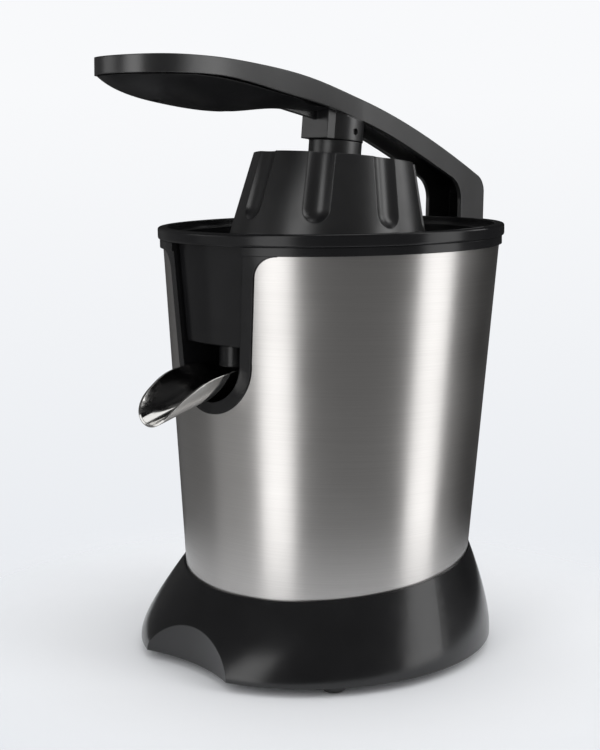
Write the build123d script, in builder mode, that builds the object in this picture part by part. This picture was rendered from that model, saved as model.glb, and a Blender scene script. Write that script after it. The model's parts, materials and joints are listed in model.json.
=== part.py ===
from build123d import *

import os
from math import acos, atan, cos, degrees, pi, radians, sin, tan

os.makedirs("parts", exist_ok=True)

# Electric citrus press with a lever arm. Millimetres, +Z up, front (juice spout) along -Y.
# The origin is on the drive axis, level with the underside of the feet.

# General clearances and the overrun of every cut
overrun = 6.0
seat_gap = 0.2
running_gap = 0.05
body_gap = 0.4

# Flared base
foot_height = 4.0
foot_radius = 8.5
foot_taper = 3.6
foot_stud_radius = 2.5
foot_ring_inset = 9.5
foot_angles = (324, 40, 140, 216)
base_half_width = 89.1
base_half_depth = 97.7
base_centre_y = -5.8
# Flare of the base: shares of the way down from the sleeve, and of the way out to the floor line
flare_shares = ((0, 0), (0.27, 0.38), (0.50, 0.66), (0.70, 0.86), (0.86, 0.97), (1, 1))
base_wall = 3.0
base_ledge = 11.0
base_boss_radius = 4.0
base_boss_ring = 75.5
base_boss_angles = (12, 70, 110, 168, 200, 340)
base_screw_radius = 1.8
base_screw_head = 3.2
base_screw_length = 12.0
base_plate_thickness = 3.0
plate_gap = 1.0
glass_recess_radius = 92.0
glass_recess_y = -92.1
vent_length = 26.0
vent_width = 3.0
vent_pitch = 8.0
vent_count = 5
inlet_radius = 5.0
inlet_flange = 2.5
inlet_length = 14.0
inlet_hole_radius = 3.4
inlet_z = 16.0

# Steel sleeve: a cone whose two ends are cut aslant, rising towards the rear
sleeve_low_radius = 75.8
sleeve_top_radius = 87.35
sleeve_low_z = 46.9
sleeve_top_z = 210.8
sleeve_wall = 1.0
low_slope_share = 0.112
top_slope_share = 0.035

# Front opening, framed by the black trim
opening_low_z = 129.3
opening_half_width = 27.2
opening_flare_share = 0.084
opening_corner = 11.0
frame_band = 5.8
frame_proud = 0.8
frame_depth = 3.0
niche_depth = 28.0
niche_wall = 2.4

# Inner housing
housing_wall = 2.5
housing_top_drop = 10.0
housing_boss_radius = 4.0
housing_boss_ring = 69.6
housing_boss_height = 14.0
housing_boss_angles = (45, 135, 225, 315)
deck_z = 176.0
deck_thickness = 3.0
hub_radius = 14.0
hub_top_z = 201.4
hub_drop = 3.0
shelf_z = 100.0
shelf_depth = 8.0
shelf_height = 4.0

# Trim ring and juice tray
ring_radius = 88.9
ring_height = 4.2
ring_inner_radius = 82.0
rim_radius = 90.0
rim_height = 6.0
rim_wall = 5.0
rim_step = 3.6
rim_fillet = 1.2
bowl_radius = 80.6
bowl_wall = 2.4
bowl_low_z = 190.0
tray_hub_gap = 1.6
tray_hub_wall = 2.2
tray_hub_height = 10.0
apron_low_z = 163.0
apron_recess = 2.4
apron_wall = 2.4
apron_gap = 1.0
apron_lip_height = 3.4
apron_lip_depth = 1.8
nozzle_y = -65.0
nozzle_radius = 8.5
nozzle_wall = 1.6
nozzle_low_z = 152.0
leg_notch_depth = 4.2
leg_notch_gap = 1.6

# Strainer
strainer_radius = 72.0
strainer_z = 199.0
strainer_wall = 0.8
strainer_lip = 1.4
strainer_post_inset = 5.0
strainer_slot_width = 1.6
strainer_slot_length = 17.0
strainer_slot_rings = (30.0, 52.0)
strainer_slot_count = 30
strainer_post_radius = 2.5
strainer_post_count = 6

# Juice spout
spout_radius = 18.8
spout_wall = 1.2
spout_slope_deg = 22.7
spout_taper_share = 0.10
spout_mouth_y = -86.2
spout_mouth_z = 156.5
spout_reach = 46.0
spout_tail = 34.0
spout_tail_y = -57.5
spout_top_z = 152.4
spout_tip_y = -119.2
spout_tip_z = 126.2
# Rim of the spout from the pivot to the tip: shares of the way out and of the way down
spout_rim_shares = ((0.089, 0.0), (0.378, 0.081), (0.556, 0.185), (0.689, 0.317), (0.80, 0.448),
                    (0.911, 0.640), (0.978, 0.846), (1.0, 1.0))
spout_pivot_y = -74.0
spout_pivot_z = 150.0
spout_pin_radius = 2.0
spout_pin_start = 16.2

# Rear hinge and arm
hinge_y = 100.0
hinge_z = 196.0
hinge_pin_radius = 3.0
hinge_ear_wall = 4.2
hinge_ear_radius = 9.0
hinge_block_low_z = 162.0
hinge_block_high_z = 208.0
hinge_block_wall = 8.0
hinge_shelf_height = 7.0
hinge_bush_wall = 1.2
hinge_screw_radius = 1.8
hinge_screw_head = 3.2
hinge_screw_length = 13.0
hinge_screw_reach = 9.0
hinge_screw_z = 170.0
arm_half_width = 13.0
arm_wall = 2.6
arm_reach = 142.4
arm_rear_y = 110.0
arm_crest_z = 297.8
paddle_half_width = 29.0
elbow_drop = 9.1
inner_elbow_drop = 12.2
# Top and fascia lines of the arm: shares of the front reach or the rear reach, and of the crest height
arm_top_front_shares = ((-1.0, 0.997), (-0.776, 1.0), (-0.50, 0.9945), (-0.222, 0.9822))
arm_top_rear_shares = ((0.152, 0.9480), (0.581, 0.8919), (0.947, 0.8301))
arm_low_front_shares = ((-1.0, 0.9706), (-0.843, 0.9728), (-0.704, 0.9725), (-0.383, 0.9540),
                        (-0.129, 0.9392))
arm_low_rear_shares = ((0.155, 0.9124), (0.585, 0.8519), (0.745, 0.8261))
# Plan of the grip: shares of the front reach, and of the grip's half width
paddle_shares = ((-0.973, 0.483), (-0.909, 0.817), (-0.80, 0.966), (-0.70, 1.0), (-0.60, 0.966),
                 (-0.395, 0.828), (-0.222, 0.655))
arm_neck_share = 0.085
# Belly of the grip: shares of the front reach, of its half width and of its depth under the fascia
belly_depth = 13.2
belly_half_width = 27.7
belly_shares = ((-0.993, 0.14, 0.04), (-0.978, 0.36, 0.16), (-0.95, 0.60, 0.35), (-0.873, 0.895, 0.67),
                (-0.755, 0.99, 0.895), (-0.633, 0.98, 0.93), (-0.504, 0.913, 0.78), (-0.372, 0.80, 0.47),
                (-0.29, 0.715, 0.29), (-0.129, 0.56, 0.13))
cover_wall = 2.4
cover_edge_share = 0.3
cover_screw_radius = 1.8
cover_screw_head = 3.4
cover_boss_radius = 4.2
cover_screw_bite = 5.0
cover_screw_shares = (-0.80, -0.50)

# Press dome and its stem, on an axis that leans back
dome_tilt_deg = 4.6
dome_cross_z = 231.0
dome_top_z = 254.5
dome_low_z = 209.0
dome_top_radius = 42.0
dome_low_radius = 52.6
dome_wall = 2.6
dome_round = 3.0
flute_count = 8
flute_phase_deg = 36.5
flute_radius = 10.0
flute_bite = 2.9
flute_length_share = 0.58
stem_radius = 8.0
collar_radius = 13.8
collar_height = 8.7
arm_sleeve_radius = 14.2
arm_sleeve_gap = 0.3
arm_sleeve_box = 15.8
arm_sleeve_box_half_width = 9.5
gusset_share = -0.30
gusset_half_width = 1.5
stem_rise = 16.0
stem_nut_radius = 11.0
stem_nut_sides = 6
stem_nut_height = 3.5
cross_pin_radius = 1.6
cross_pin_rise = 4.6
cross_pin_inset = 2.0

# Juicing cone and output shaft
cone_low_z = 204.5
cone_radius = 37.0
cone_height = 38.0
cone_skirt = 3.0
cone_wall = 2.6
cone_rib_count = 8
cone_rib_width = 2.6
cone_rib_height = 2.6
cone_tip_radius = 5.0
cone_base_share = 0.90
cone_waist_share = 0.58
cone_waist_rise_share = 0.58
cone_hub_radius = 9.0
cone_hub_lift = 2.0
shaft_radius = 5.0
shaft_low_z = 122.0
shaft_drive = 22.0

# Reduction gears: two equal stages on one centre distance
gear_module = 1.0
pinion_teeth = 18
wheel_teeth = 54
pressure_angle_deg = 20.0
gear_backlash = 0.16
gear_root_share = 1.25
first_stage_z = 110.0
first_stage_width = 7.0
wheel_width = 5.5
second_stage_gap = 1.5
second_pinion_width = 18.0
output_wheel_z = 124.0
output_wheel_width = 8.0
idler_axle_radius = 3.0
web_hole_radius = 5.0
web_hole_ring = 17.0
web_hole_count = 6

# Gearbox
gear_plate_thickness = 4.0
gear_case_wall = 2.4
gear_case_gap = 2.0
gear_case_flange = 7.2
gear_case_flange_height = 3.0
gear_case_height = 38.0
gear_boss_radius = 11.0
gear_boss_height = 9.0
bush_wall = 2.0
gear_screw_radius = 1.8
gear_screw_head = 3.4
plate_screw_ring = 71.5
plate_screw_angles = (20, 160, 200, 340)
head_height = 2.2

# Press carriage, spring and switch
guide_pin_radius = 2.0
guide_pin_reach = 16.0
guide_pin_height = 29.0
thrust_z = 166.0
thrust_thickness = 3.0
thrust_radius = 20.0
thrust_finger_length = 33.0
thrust_finger_width = 7.0
clip_radius = 9.0
clip_thickness = 2.4
spring_radius = 9.0
spring_wire = 1.4
switch_length = 20.0
switch_width = 7.0
switch_height = 14.0
switch_y = 27.0
switch_ear = 1.3
switch_ear_height = 3.6
switch_lever_wall = 0.8
switch_lever_reach = 16.0
switch_pin_radius = 0.8

# Motor
stator_side = 60.0
stator_height = 30.0
stator_low_z = 50.0
stator_corner = 8.0
air_gap = 0.6
rotor_radius = 18.8
rotor_slot_count = 12
rotor_slot_width = 2.4
rotor_slot_depth = 7.0
rotor_shaft_radius = 4.0
rotor_low_z = 22.0
winding_inner_radius = 20.6
winding_outer_radius = 27.0
winding_rise = 7.0
winding_span_deg = 112.0
winding_open_deg = 40.0
winding_slot_gap = 0.5
winding_slot_deg = 1.5
commutator_radius = 11.0
commutator_height = 11.0
commutator_bar_count = 24
commutator_bar_gap = 0.5
fan_radius = 27.0
fan_height = 7.0
fan_blade_count = 11
fan_blade_width = 1.6
fan_disc = 1.4
fan_hub_radius = 8.0
fan_drop = 1.6
bearing_radius = 8.0
bearing_height = 6.0
motor_post_radius = 4.0
motor_screw_radius = 1.8
motor_screw_inset = 6.0
bracket_thickness = 4.0
bracket_window_pitch = 30.0
bracket_window_radius = 6.0
bracket_boss_radius = 11.0
brush_width = 6.0
brush_height = 8.0
brush_length = 16.0
seal_radius = 8.6
seal_height = 4.0

# Values that follow from the ones above
sleeve_slope = (sleeve_top_radius - sleeve_low_radius) / (sleeve_top_z - sleeve_low_z)
centre_distance = gear_module * (pinion_teeth + wheel_teeth) / 2
plate_top_z = foot_height + base_plate_thickness
ring_top_z = sleeve_top_z + ring_height
rim_top_z = ring_top_z + rim_height
housing_shift = -sleeve_wall - seat_gap
BOTTOM = (Align.CENTER, Align.CENTER, Align.MIN)


def sleeve_radius(height):
    """Outer radius of the sleeve's cone at a height on the axis."""
    return sleeve_low_radius + sleeve_slope * (height - sleeve_low_z)


def slanted(height, slope_share):
    """Plane through the axis at a height, rising towards the rear."""
    return Plane(origin=(0, 0, height), x_dir=(1, 0, 0), z_dir=(0, -slope_share, 1))


def post(radius, low, high, mode=Mode.ADD):
    """Upright cylinder between two heights at the current locations."""
    with Locations((0, 0, low)):
        Cylinder(radius, high - low, align=BOTTOM, mode=mode)


def around(radius, angle):
    """Point on a circle about the axis, the angle in degrees from +X."""
    return (radius * cos(radians(angle)), radius * sin(radians(angle)), 0)


def cone_band(outer_shift, inner_shift, low, high):
    """Revolve a band that runs along the sleeve's cone, between two shifts from its outer face."""
    with BuildSketch(Plane.XZ) as band:
        with BuildLine():
            Polyline(
                (sleeve_radius(low) + inner_shift, low),
                (sleeve_radius(low) + outer_shift, low),
                (sleeve_radius(high) + outer_shift, high),
                (sleeve_radius(high) + inner_shift, high),
                close=True,
            )
        make_face()
    revolve(band.sketch, axis=Axis.Z)


def front_opening(shrink, top, setback, flared=False):
    """Outline of the front opening, on a plane that faces forward: round at the foot, widening upwards."""
    centre_z = opening_low_z + opening_half_width
    half = opening_half_width - shrink
    top_half = half + opening_flare_share * (top - centre_z)
    with BuildSketch(Plane.XZ.offset(setback)) as outline:
        with BuildLine():
            Line((half, centre_z), (top_half, top))
            Line((top_half, top), (-top_half, top))
            Line((-top_half, top), (-half, centre_z))
            ThreePointArc((-half, centre_z), (0, centre_z - half), (half, centre_z))
        make_face()
        if flared:
            corner_z = sleeve_top_z - top_slope_share * sleeve_radius(sleeve_top_z) - opening_corner
            corner_x = half + opening_flare_share * (corner_z - centre_z) + opening_corner
            with Locations((0, corner_z)):
                Rectangle(2 * corner_x, top - corner_z, align=(Align.CENTER, Align.MIN))
            with Locations((corner_x, corner_z), (-corner_x, corner_z)):
                Circle(opening_corner, mode=Mode.SUBTRACT)
    return outline.sketch


low_plane = slanted(sleeve_low_z, low_slope_share)
niche_back = sleeve_radius(opening_low_z + opening_half_width) - niche_depth
front_reach = rim_radius + overrun
niche_top_z = bowl_low_z - top_slope_share * rim_radius - body_gap
hinge_half_width = arm_half_width + body_gap + hinge_ear_wall
leg_half_depth = arm_rear_y - hinge_y
hinge_block_y = hinge_y - leg_half_depth - body_gap - hinge_block_wall
case_inner_radius = gear_module * (wheel_teeth / 2 + 1) + gear_case_gap
case_screw_reach = case_inner_radius + gear_case_wall + gear_case_flange / 2
case_screw_places = [(case_screw_reach, 0), (-case_screw_reach, 0),
                     (case_screw_reach, centre_distance), (-case_screw_reach, centre_distance)]
hinge_face_y = hinge_y - leg_half_depth - body_gap
hinge_screw_places = [(hinge_screw_reach, hinge_face_y, hinge_screw_z),
                      (-hinge_screw_reach, hinge_face_y, hinge_screw_z)]
foot_oval = (base_half_width - foot_ring_inset, base_half_depth - foot_ring_inset)
foot_places = [(0, glass_recess_y + base_wall + foot_radius, 0)]
for foot_angle in foot_angles:
    foot_x = foot_oval[0] * cos(radians(foot_angle))
    foot_y = base_centre_y + foot_oval[1] * sin(radians(foot_angle))
    foot_places.append((foot_x, foot_y, 0))


def hinge_screw_shanks(mode=Mode.ADD):
    """Shanks of the hinge screws, forward from the face of the hinge block."""
    with Locations(*hinge_screw_places):
        Cylinder(hinge_screw_radius, hinge_screw_length, rotation=(90, 0, 0), align=BOTTOM, mode=mode)


# Base shell: a flare from the slanted foot of the sleeve out to an oval
base_collar_radius = sleeve_low_radius + sleeve_wall


def base_flare(inset, top_z, floor_z):
    """Loft from the round foot of the sleeve out to the oval of the base, set in by a wall."""
    sections = []
    for down, out in flare_shares:
        half_width = base_collar_radius + (base_half_width - base_collar_radius) * out - inset
        half_depth = base_collar_radius + (base_half_depth - base_collar_radius) * out - inset
        level = slanted(top_z + (floor_z - top_z) * down, low_slope_share * (1 - down))
        with BuildSketch(level) as section:
            with Locations((0, base_centre_y * out)):
                Ellipse(half_width, half_depth)
        sections.append(section.sketch)
    loft(sections)
    return sections[-1]


with BuildPart() as base_cavity:
    base_inner_oval = base_flare(base_wall, sleeve_low_z - base_wall, foot_height)
    extrude(base_inner_oval, amount=-overrun)
    with BuildSketch(low_plane.offset(-base_wall - overrun)) as base_mouth:
        Circle(base_collar_radius - base_ledge)
    extrude(amount=base_wall + 2 * overrun)
    with Locations((0, glass_recess_y - glass_recess_radius, -overrun)):
        Cylinder(glass_recess_radius + base_wall, sleeve_low_z, align=BOTTOM, mode=Mode.SUBTRACT)
    for angle in base_boss_angles:
        with Locations(around(base_boss_ring, angle)):
            post(base_boss_radius, plate_top_z, sleeve_low_z - base_wall, mode=Mode.SUBTRACT)
            post(base_screw_radius, foot_height, foot_height + base_screw_length)
    for angle in housing_boss_angles:
        with Locations(around(housing_boss_ring, angle)):
            post(base_screw_radius + seat_gap, plate_top_z, sleeve_low_z + 2 * overrun)

with BuildPart() as base_shell:
    base_flare(0, sleeve_low_z, foot_height)
    with Locations((0, glass_recess_y - glass_recess_radius, 0)):
        Cylinder(glass_recess_radius, sleeve_low_z, align=BOTTOM, mode=Mode.SUBTRACT)
    add(base_cavity.part, mode=Mode.SUBTRACT)
    with Locations((0, base_centre_y + base_half_depth, inlet_z)):
        Cylinder(inlet_radius + seat_gap, 2 * inlet_length, rotation=(90, 0, 0), mode=Mode.SUBTRACT)
base_shell.part.label = "base_shell"
export_step(base_shell.part, "parts/base_shell.step")

# Cord inlet bush in the rear of the base
inlet_y = base_centre_y + base_half_depth
with BuildPart() as cord_inlet_bush:
    with BuildSketch(Plane.XZ.offset(-inlet_y - inlet_flange)) as inlet_face:
        with Locations((0, inlet_z)):
            Circle(inlet_radius + inlet_flange)
    extrude(amount=inlet_flange)
    with BuildSketch(Plane.XZ.offset(-inlet_y)) as inlet_barrel:
        with Locations((0, inlet_z)):
            Circle(inlet_radius)
    extrude(amount=inlet_length - inlet_flange)
    with Locations((0, inlet_y, inlet_z)):
        Cylinder(inlet_hole_radius, 2 * inlet_length, rotation=(90, 0, 0), mode=Mode.SUBTRACT)
cord_inlet_bush.part.label = "cord_inlet_bush"
export_step(cord_inlet_bush.part, "parts/cord_inlet_bush.step")

# Base plate: closes the base from below, with cooling slots
with BuildPart() as base_plate:
    with BuildSketch(Plane.XY.offset(foot_height)) as plate_outline:
        with Locations((0, base_centre_y)):
            Ellipse(base_half_width - base_wall - plate_gap, base_half_depth - base_wall - plate_gap)
        with Locations((0, glass_recess_y - glass_recess_radius)):
            Circle(glass_recess_radius + base_wall + seat_gap, mode=Mode.SUBTRACT)
        with GridLocations(0, vent_pitch, 1, vent_count):
            SlotOverall(vent_length, vent_width, mode=Mode.SUBTRACT)
        with Locations(*foot_places):
            Circle(foot_stud_radius, mode=Mode.SUBTRACT)
        with Locations(*[around(base_boss_ring, angle) for angle in base_boss_angles]):
            Circle(base_screw_radius + seat_gap, mode=Mode.SUBTRACT)
    extrude(amount=base_plate_thickness)
base_plate.part.label = "base_plate"
export_step(base_plate.part, "parts/base_plate.step")

# Rubber feet, each with a stud pushed into the base plate
with BuildPart() as rubber_feet:
    for place in foot_places:
        with Locations(place):
            Cone(foot_radius - foot_taper, foot_radius, foot_height, align=BOTTOM)
            post(foot_stud_radius, foot_height, plate_top_z)
rubber_feet.part.label = "rubber_feet"
export_step(rubber_feet.part, "parts/rubber_feet.step")

# Screws that hold the base plate to the bosses of the base shell
with BuildPart() as base_screws:
    for angle in base_boss_angles:
        with Locations(around(base_boss_ring, angle)):
            post(base_screw_head, foot_height - head_height, foot_height)
            post(base_screw_radius, foot_height, foot_height + base_screw_length)
base_screws.part.label = "base_screws"
export_step(base_screws.part, "parts/base_screws.step")

# Steel sleeve with the front opening and a rear slot for the hinge block
with BuildPart() as steel_sleeve:
    cone_band(0, -sleeve_wall, sleeve_low_z - 2 * overrun, sleeve_top_z + overrun)
    split(bisect_by=low_plane, keep=Keep.TOP)
    split(bisect_by=slanted(sleeve_top_z, top_slope_share), keep=Keep.BOTTOM)
    extrude(
        front_opening(-seat_gap, sleeve_top_z + overrun, 0, flared=True),
        amount=front_reach,
        mode=Mode.SUBTRACT,
    )
    with BuildSketch(Plane.XZ) as rear_slot:
        with Locations((0, hinge_block_low_z - seat_gap)):
            Rectangle(2 * hinge_half_width + 2 * seat_gap, sleeve_top_z, align=(Align.CENTER, Align.MIN))
    extrude(amount=-front_reach, mode=Mode.SUBTRACT)
steel_sleeve.part.label = "steel_sleeve"
export_step(steel_sleeve.part, "parts/steel_sleeve.step")

# Inner housing: a lining cone that carries the sleeve, the gearbox shelf and the deck with its hub
deck_radius = sleeve_radius(deck_z) + housing_shift - housing_wall / 2
shelf_radius = sleeve_radius(shelf_z - shelf_height) + housing_shift - housing_wall / 2
with BuildPart() as inner_housing:
    cone_band(housing_shift, housing_shift - housing_wall, sleeve_low_z - 2 * overrun, sleeve_top_z)
    split(bisect_by=slanted(sleeve_top_z - housing_top_drop, top_slope_share), keep=Keep.BOTTOM)
    post(deck_radius, deck_z, deck_z + deck_thickness)
    post(shelf_radius, shelf_z - shelf_height, shelf_z)
    post(shelf_radius - shelf_depth, shelf_z - shelf_height, shelf_z, mode=Mode.SUBTRACT)
    for angle in plate_screw_angles:
        with Locations(around(plate_screw_ring, angle)):
            post(gear_screw_radius, shelf_z - shelf_height, shelf_z, mode=Mode.SUBTRACT)
    for angle in housing_boss_angles:
        with Locations(around(housing_boss_ring, angle)):
            post(housing_boss_radius, sleeve_low_z - 2 * overrun, sleeve_low_z + housing_boss_height)
            post(
                base_screw_radius,
                sleeve_low_z - 2 * overrun,
                sleeve_low_z + housing_boss_height - base_wall,
                mode=Mode.SUBTRACT,
            )
    split(bisect_by=low_plane, keep=Keep.TOP)
    post(hub_radius, deck_z - hub_drop, hub_top_z)
    post(shaft_radius + bush_wall + seat_gap, deck_z - hub_drop, hub_top_z, mode=Mode.SUBTRACT)
    post(seal_radius, hub_top_z - seal_height, hub_top_z, mode=Mode.SUBTRACT)
    extrude(
        front_opening(-seat_gap, sleeve_top_z, deck_radius - niche_depth / 2, flared=True),
        amount=front_reach,
        mode=Mode.SUBTRACT,
    )
    extrude(
        front_opening(frame_band - niche_wall - body_gap, sleeve_top_z, niche_back - niche_wall - body_gap),
        amount=front_reach,
        mode=Mode.SUBTRACT,
    )
    hinge_screw_shanks(Mode.SUBTRACT)
inner_housing.part.label = "inner_housing"
export_step(inner_housing.part, "parts/inner_housing.step")

# Screws from under the base ledge up into the housing bosses
with BuildPart() as housing_screws:
    for angle in housing_boss_angles:
        x, y, _ = around(housing_boss_ring, angle)
        seat_z = sleeve_low_z - base_wall + low_slope_share * (y - base_screw_head) - head_height
        with Locations((x, y, 0)):
            post(base_screw_head, seat_z, seat_z + head_height)
            post(base_screw_radius, seat_z, sleeve_low_z + housing_boss_height - base_wall - overrun)
housing_screws.part.label = "housing_screws"
export_step(housing_screws.part, "parts/housing_screws.step")

# Trim frame: ring under the tray rim, front frame and the niche for the spout
with BuildPart() as frame_face:
    cone_band(frame_proud, -frame_depth, opening_low_z - overrun, ring_top_z + overrun)
    extrude(front_opening(0, ring_top_z + overrun, 0, flared=True), amount=front_reach, mode=Mode.INTERSECT)
    split(bisect_by=slanted(ring_top_z, top_slope_share), keep=Keep.BOTTOM)

with BuildPart() as niche_walls:
    cone_band(0, -niche_depth - niche_wall, opening_low_z - overrun, niche_top_z)
    extrude(
        front_opening(frame_band - niche_wall, niche_top_z, niche_back - niche_wall),
        amount=front_reach,
        mode=Mode.INTERSECT,
    )

with BuildPart() as trim_frame:
    with BuildSketch(slanted(sleeve_top_z, top_slope_share)) as ring_outline:
        Circle(ring_radius)
        Circle(ring_inner_radius, mode=Mode.SUBTRACT)
    extrude(amount=ring_height - running_gap)
    with BuildSketch(slanted(sleeve_top_z - housing_top_drop, top_slope_share)) as skirt_outline:
        Circle(sleeve_radius(sleeve_top_z - housing_top_drop) - sleeve_wall - body_gap)
        Circle(ring_inner_radius, mode=Mode.SUBTRACT)
    extrude(amount=housing_top_drop)
    add(frame_face.part)
    add(niche_walls.part)
    extrude(
        front_opening(frame_band, ring_top_z + overrun, niche_back),
        amount=front_reach,
        mode=Mode.SUBTRACT,
    )
    with Locations((0, hinge_block_y, hinge_block_low_z)):
        Box(
            2 * hinge_half_width + 2 * seat_gap,
            front_reach,
            hinge_block_high_z - hinge_block_low_z + seat_gap,
            align=(Align.CENTER, Align.MIN, Align.MIN),
            mode=Mode.SUBTRACT,
        )
    with Locations((0, spout_pivot_y, spout_pivot_z)):
        Cylinder(spout_pin_radius + running_gap, rim_radius, rotation=(0, 90, 0), mode=Mode.SUBTRACT)
trim_frame.part.label = "trim_frame"
export_step(trim_frame.part, "parts/trim_frame.step")

# Shaft seal in the mouth of the deck hub
with BuildPart() as shaft_seal:
    post(seal_radius, hub_top_z - seal_height, hub_top_z)
    post(shaft_radius + running_gap, hub_top_z - seal_height, hub_top_z, mode=Mode.SUBTRACT)
shaft_seal.part.label = "shaft_seal"
export_step(shaft_seal.part, "parts/shaft_seal.step")

# Juice tray: rim, bowl, hub, front apron and outlet nozzle in one moulding
tray_hub_radius = hub_radius + tray_hub_gap + tray_hub_wall
with BuildPart() as apron:
    cone_band(-apron_recess, -apron_recess - apron_wall, apron_low_z, ring_top_z)
    extrude(
        front_opening(frame_band + apron_gap, ring_top_z + overrun, niche_back),
        amount=front_reach,
        mode=Mode.INTERSECT,
    )

with BuildPart() as juice_tray:
    with BuildSketch(slanted(bowl_low_z, top_slope_share)) as bowl_outline:
        Circle(bowl_radius)
    extrude(amount=rim_top_z - bowl_low_z)
    with BuildSketch(slanted(ring_top_z, top_slope_share)) as rim_outline:
        Circle(rim_radius)
    extrude(amount=rim_height)
    fillet(juice_tray.edges().filter_by(GeomType.CIRCLE).sort_by(SortBy.RADIUS)[-2:], rim_fillet)
    with BuildSketch(slanted(bowl_low_z + bowl_wall, top_slope_share)) as bowl_inside:
        Circle(bowl_radius - bowl_wall)
    extrude(amount=rim_top_z - bowl_low_z, mode=Mode.SUBTRACT)
    with BuildSketch(slanted(rim_top_z - rim_step, top_slope_share)) as step_outline:
        Circle(rim_radius - rim_wall)
    extrude(amount=rim_step + overrun, mode=Mode.SUBTRACT)
    with BuildSketch(slanted(bowl_low_z, top_slope_share)) as tray_hub_outline:
        Circle(tray_hub_radius)
    extrude(amount=bowl_wall + tray_hub_height)
    post(hub_radius + tray_hub_gap, deck_z, rim_top_z, mode=Mode.SUBTRACT)
    add(apron.part)
    with BuildSketch(Plane.XY.offset(apron_low_z)) as apron_floor:
        Circle(sleeve_radius(apron_low_z) - apron_recess - apron_wall / 2)
        with Locations((0, -niche_back - niche_wall)):
            Rectangle(
                2 * (opening_half_width - frame_band - apron_gap),
                niche_depth,
                align=(Align.CENTER, Align.MAX),
                mode=Mode.INTERSECT,
            )
    extrude(amount=apron_wall)
    with BuildSketch(Plane.XZ) as lip_bevel:
        lip_radius = sleeve_radius(apron_low_z) - apron_recess
        with BuildLine():
            Polyline(
                (lip_radius - apron_lip_depth, apron_low_z),
                (lip_radius + overrun, apron_low_z),
                (lip_radius + overrun, apron_low_z + apron_lip_height),
                close=True,
            )
        make_face()
    revolve(lip_bevel.sketch, axis=Axis.Z, mode=Mode.SUBTRACT)
    with Locations((0, nozzle_y)):
        post(nozzle_radius, nozzle_low_z, bowl_low_z)
        post(nozzle_radius - nozzle_wall, nozzle_low_z, bowl_low_z + bowl_wall, mode=Mode.SUBTRACT)
    for index in range(strainer_post_count):
        place = around(strainer_radius - strainer_post_inset, index * 360 / strainer_post_count)
        with Locations(place):
            floor_z = bowl_low_z + top_slope_share * place[1] + bowl_wall / 2
            post(strainer_post_radius, floor_z, strainer_z)
    with Locations((0, rim_radius - leg_notch_depth, ring_top_z)):
        Box(
            2 * (arm_half_width + leg_notch_gap),
            2 * leg_notch_depth,
            front_reach,
            align=(Align.CENTER, Align.MIN, Align.CENTER),
            mode=Mode.SUBTRACT,
        )
juice_tray.part.label = "juice_tray"
export_step(juice_tray.part, "parts/juice_tray.step")

# Strainer: a perforated steel dish on the posts of the tray
with BuildPart() as strainer:
    with BuildSketch(Plane.XY.offset(strainer_z)) as strainer_outline:
        Circle(strainer_radius)
        Circle(tray_hub_radius + tray_hub_gap, mode=Mode.SUBTRACT)
        for slot_ring in strainer_slot_rings:
            with PolarLocations(slot_ring, strainer_slot_count):
                SlotOverall(strainer_slot_length, strainer_slot_width, mode=Mode.SUBTRACT)
    extrude(amount=strainer_wall)
    with BuildSketch(Plane.XY.offset(strainer_z)) as strainer_lip_outline:
        Circle(strainer_radius)
        Circle(strainer_radius - strainer_wall, mode=Mode.SUBTRACT)
    extrude(amount=strainer_lip)
strainer.part.label = "strainer"
export_step(strainer.part, "parts/strainer.step")

# Juice spout: a scoop made of a tapered half pipe, with two pivot pins
spout_forward = Vector(0, -cos(radians(spout_slope_deg)), -sin(radians(spout_slope_deg)))
spout_root = Vector(0, spout_mouth_y, spout_mouth_z) - spout_forward * spout_tail
spout_section = Plane(origin=spout_root, x_dir=(1, 0, 0), z_dir=spout_forward)
spout_length = spout_tail + spout_reach
spout_root_radius = spout_radius + spout_taper_share * spout_tail
spout_tip_radius = spout_radius - spout_taper_share * spout_reach
spout_run = spout_tip_y - spout_pivot_y
spout_fall = spout_tip_z - spout_top_z
spout_rim = [(spout_pivot_y + spout_run * out, spout_top_z + spout_fall * down)
             for out, down in spout_rim_shares]
spout_pin_end = opening_half_width - frame_band
with BuildPart() as spout:
    with Locations(spout_section):
        Cone(spout_root_radius, spout_tip_radius, spout_length, align=BOTTOM)
        Cone(
            spout_root_radius - spout_wall,
            spout_tip_radius - spout_wall,
            spout_length,
            align=BOTTOM,
            mode=Mode.SUBTRACT,
        )
    with BuildSketch(Plane.YZ.offset(-spout_root_radius - overrun)) as spout_side:
        with BuildLine():
            Spline(*spout_rim)
            Polyline(
                spout_rim[-1],
                (spout_tip_y, spout_tip_z - spout_radius),
                (spout_tail_y, spout_tip_z - spout_radius),
                (spout_tail_y, spout_top_z),
                spout_rim[0],
            )
        make_face()
    extrude(amount=2 * (spout_root_radius + overrun), mode=Mode.INTERSECT)
    for side in (1, -1):
        with Locations((side * (spout_pin_start + spout_pin_end) / 2, spout_pivot_y, spout_pivot_z)):
            Cylinder(spout_pin_radius, spout_pin_end - spout_pin_start, rotation=(0, 90, 0))
spout.part.label = "spout"
export_step(spout.part, "parts/spout.step")

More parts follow.
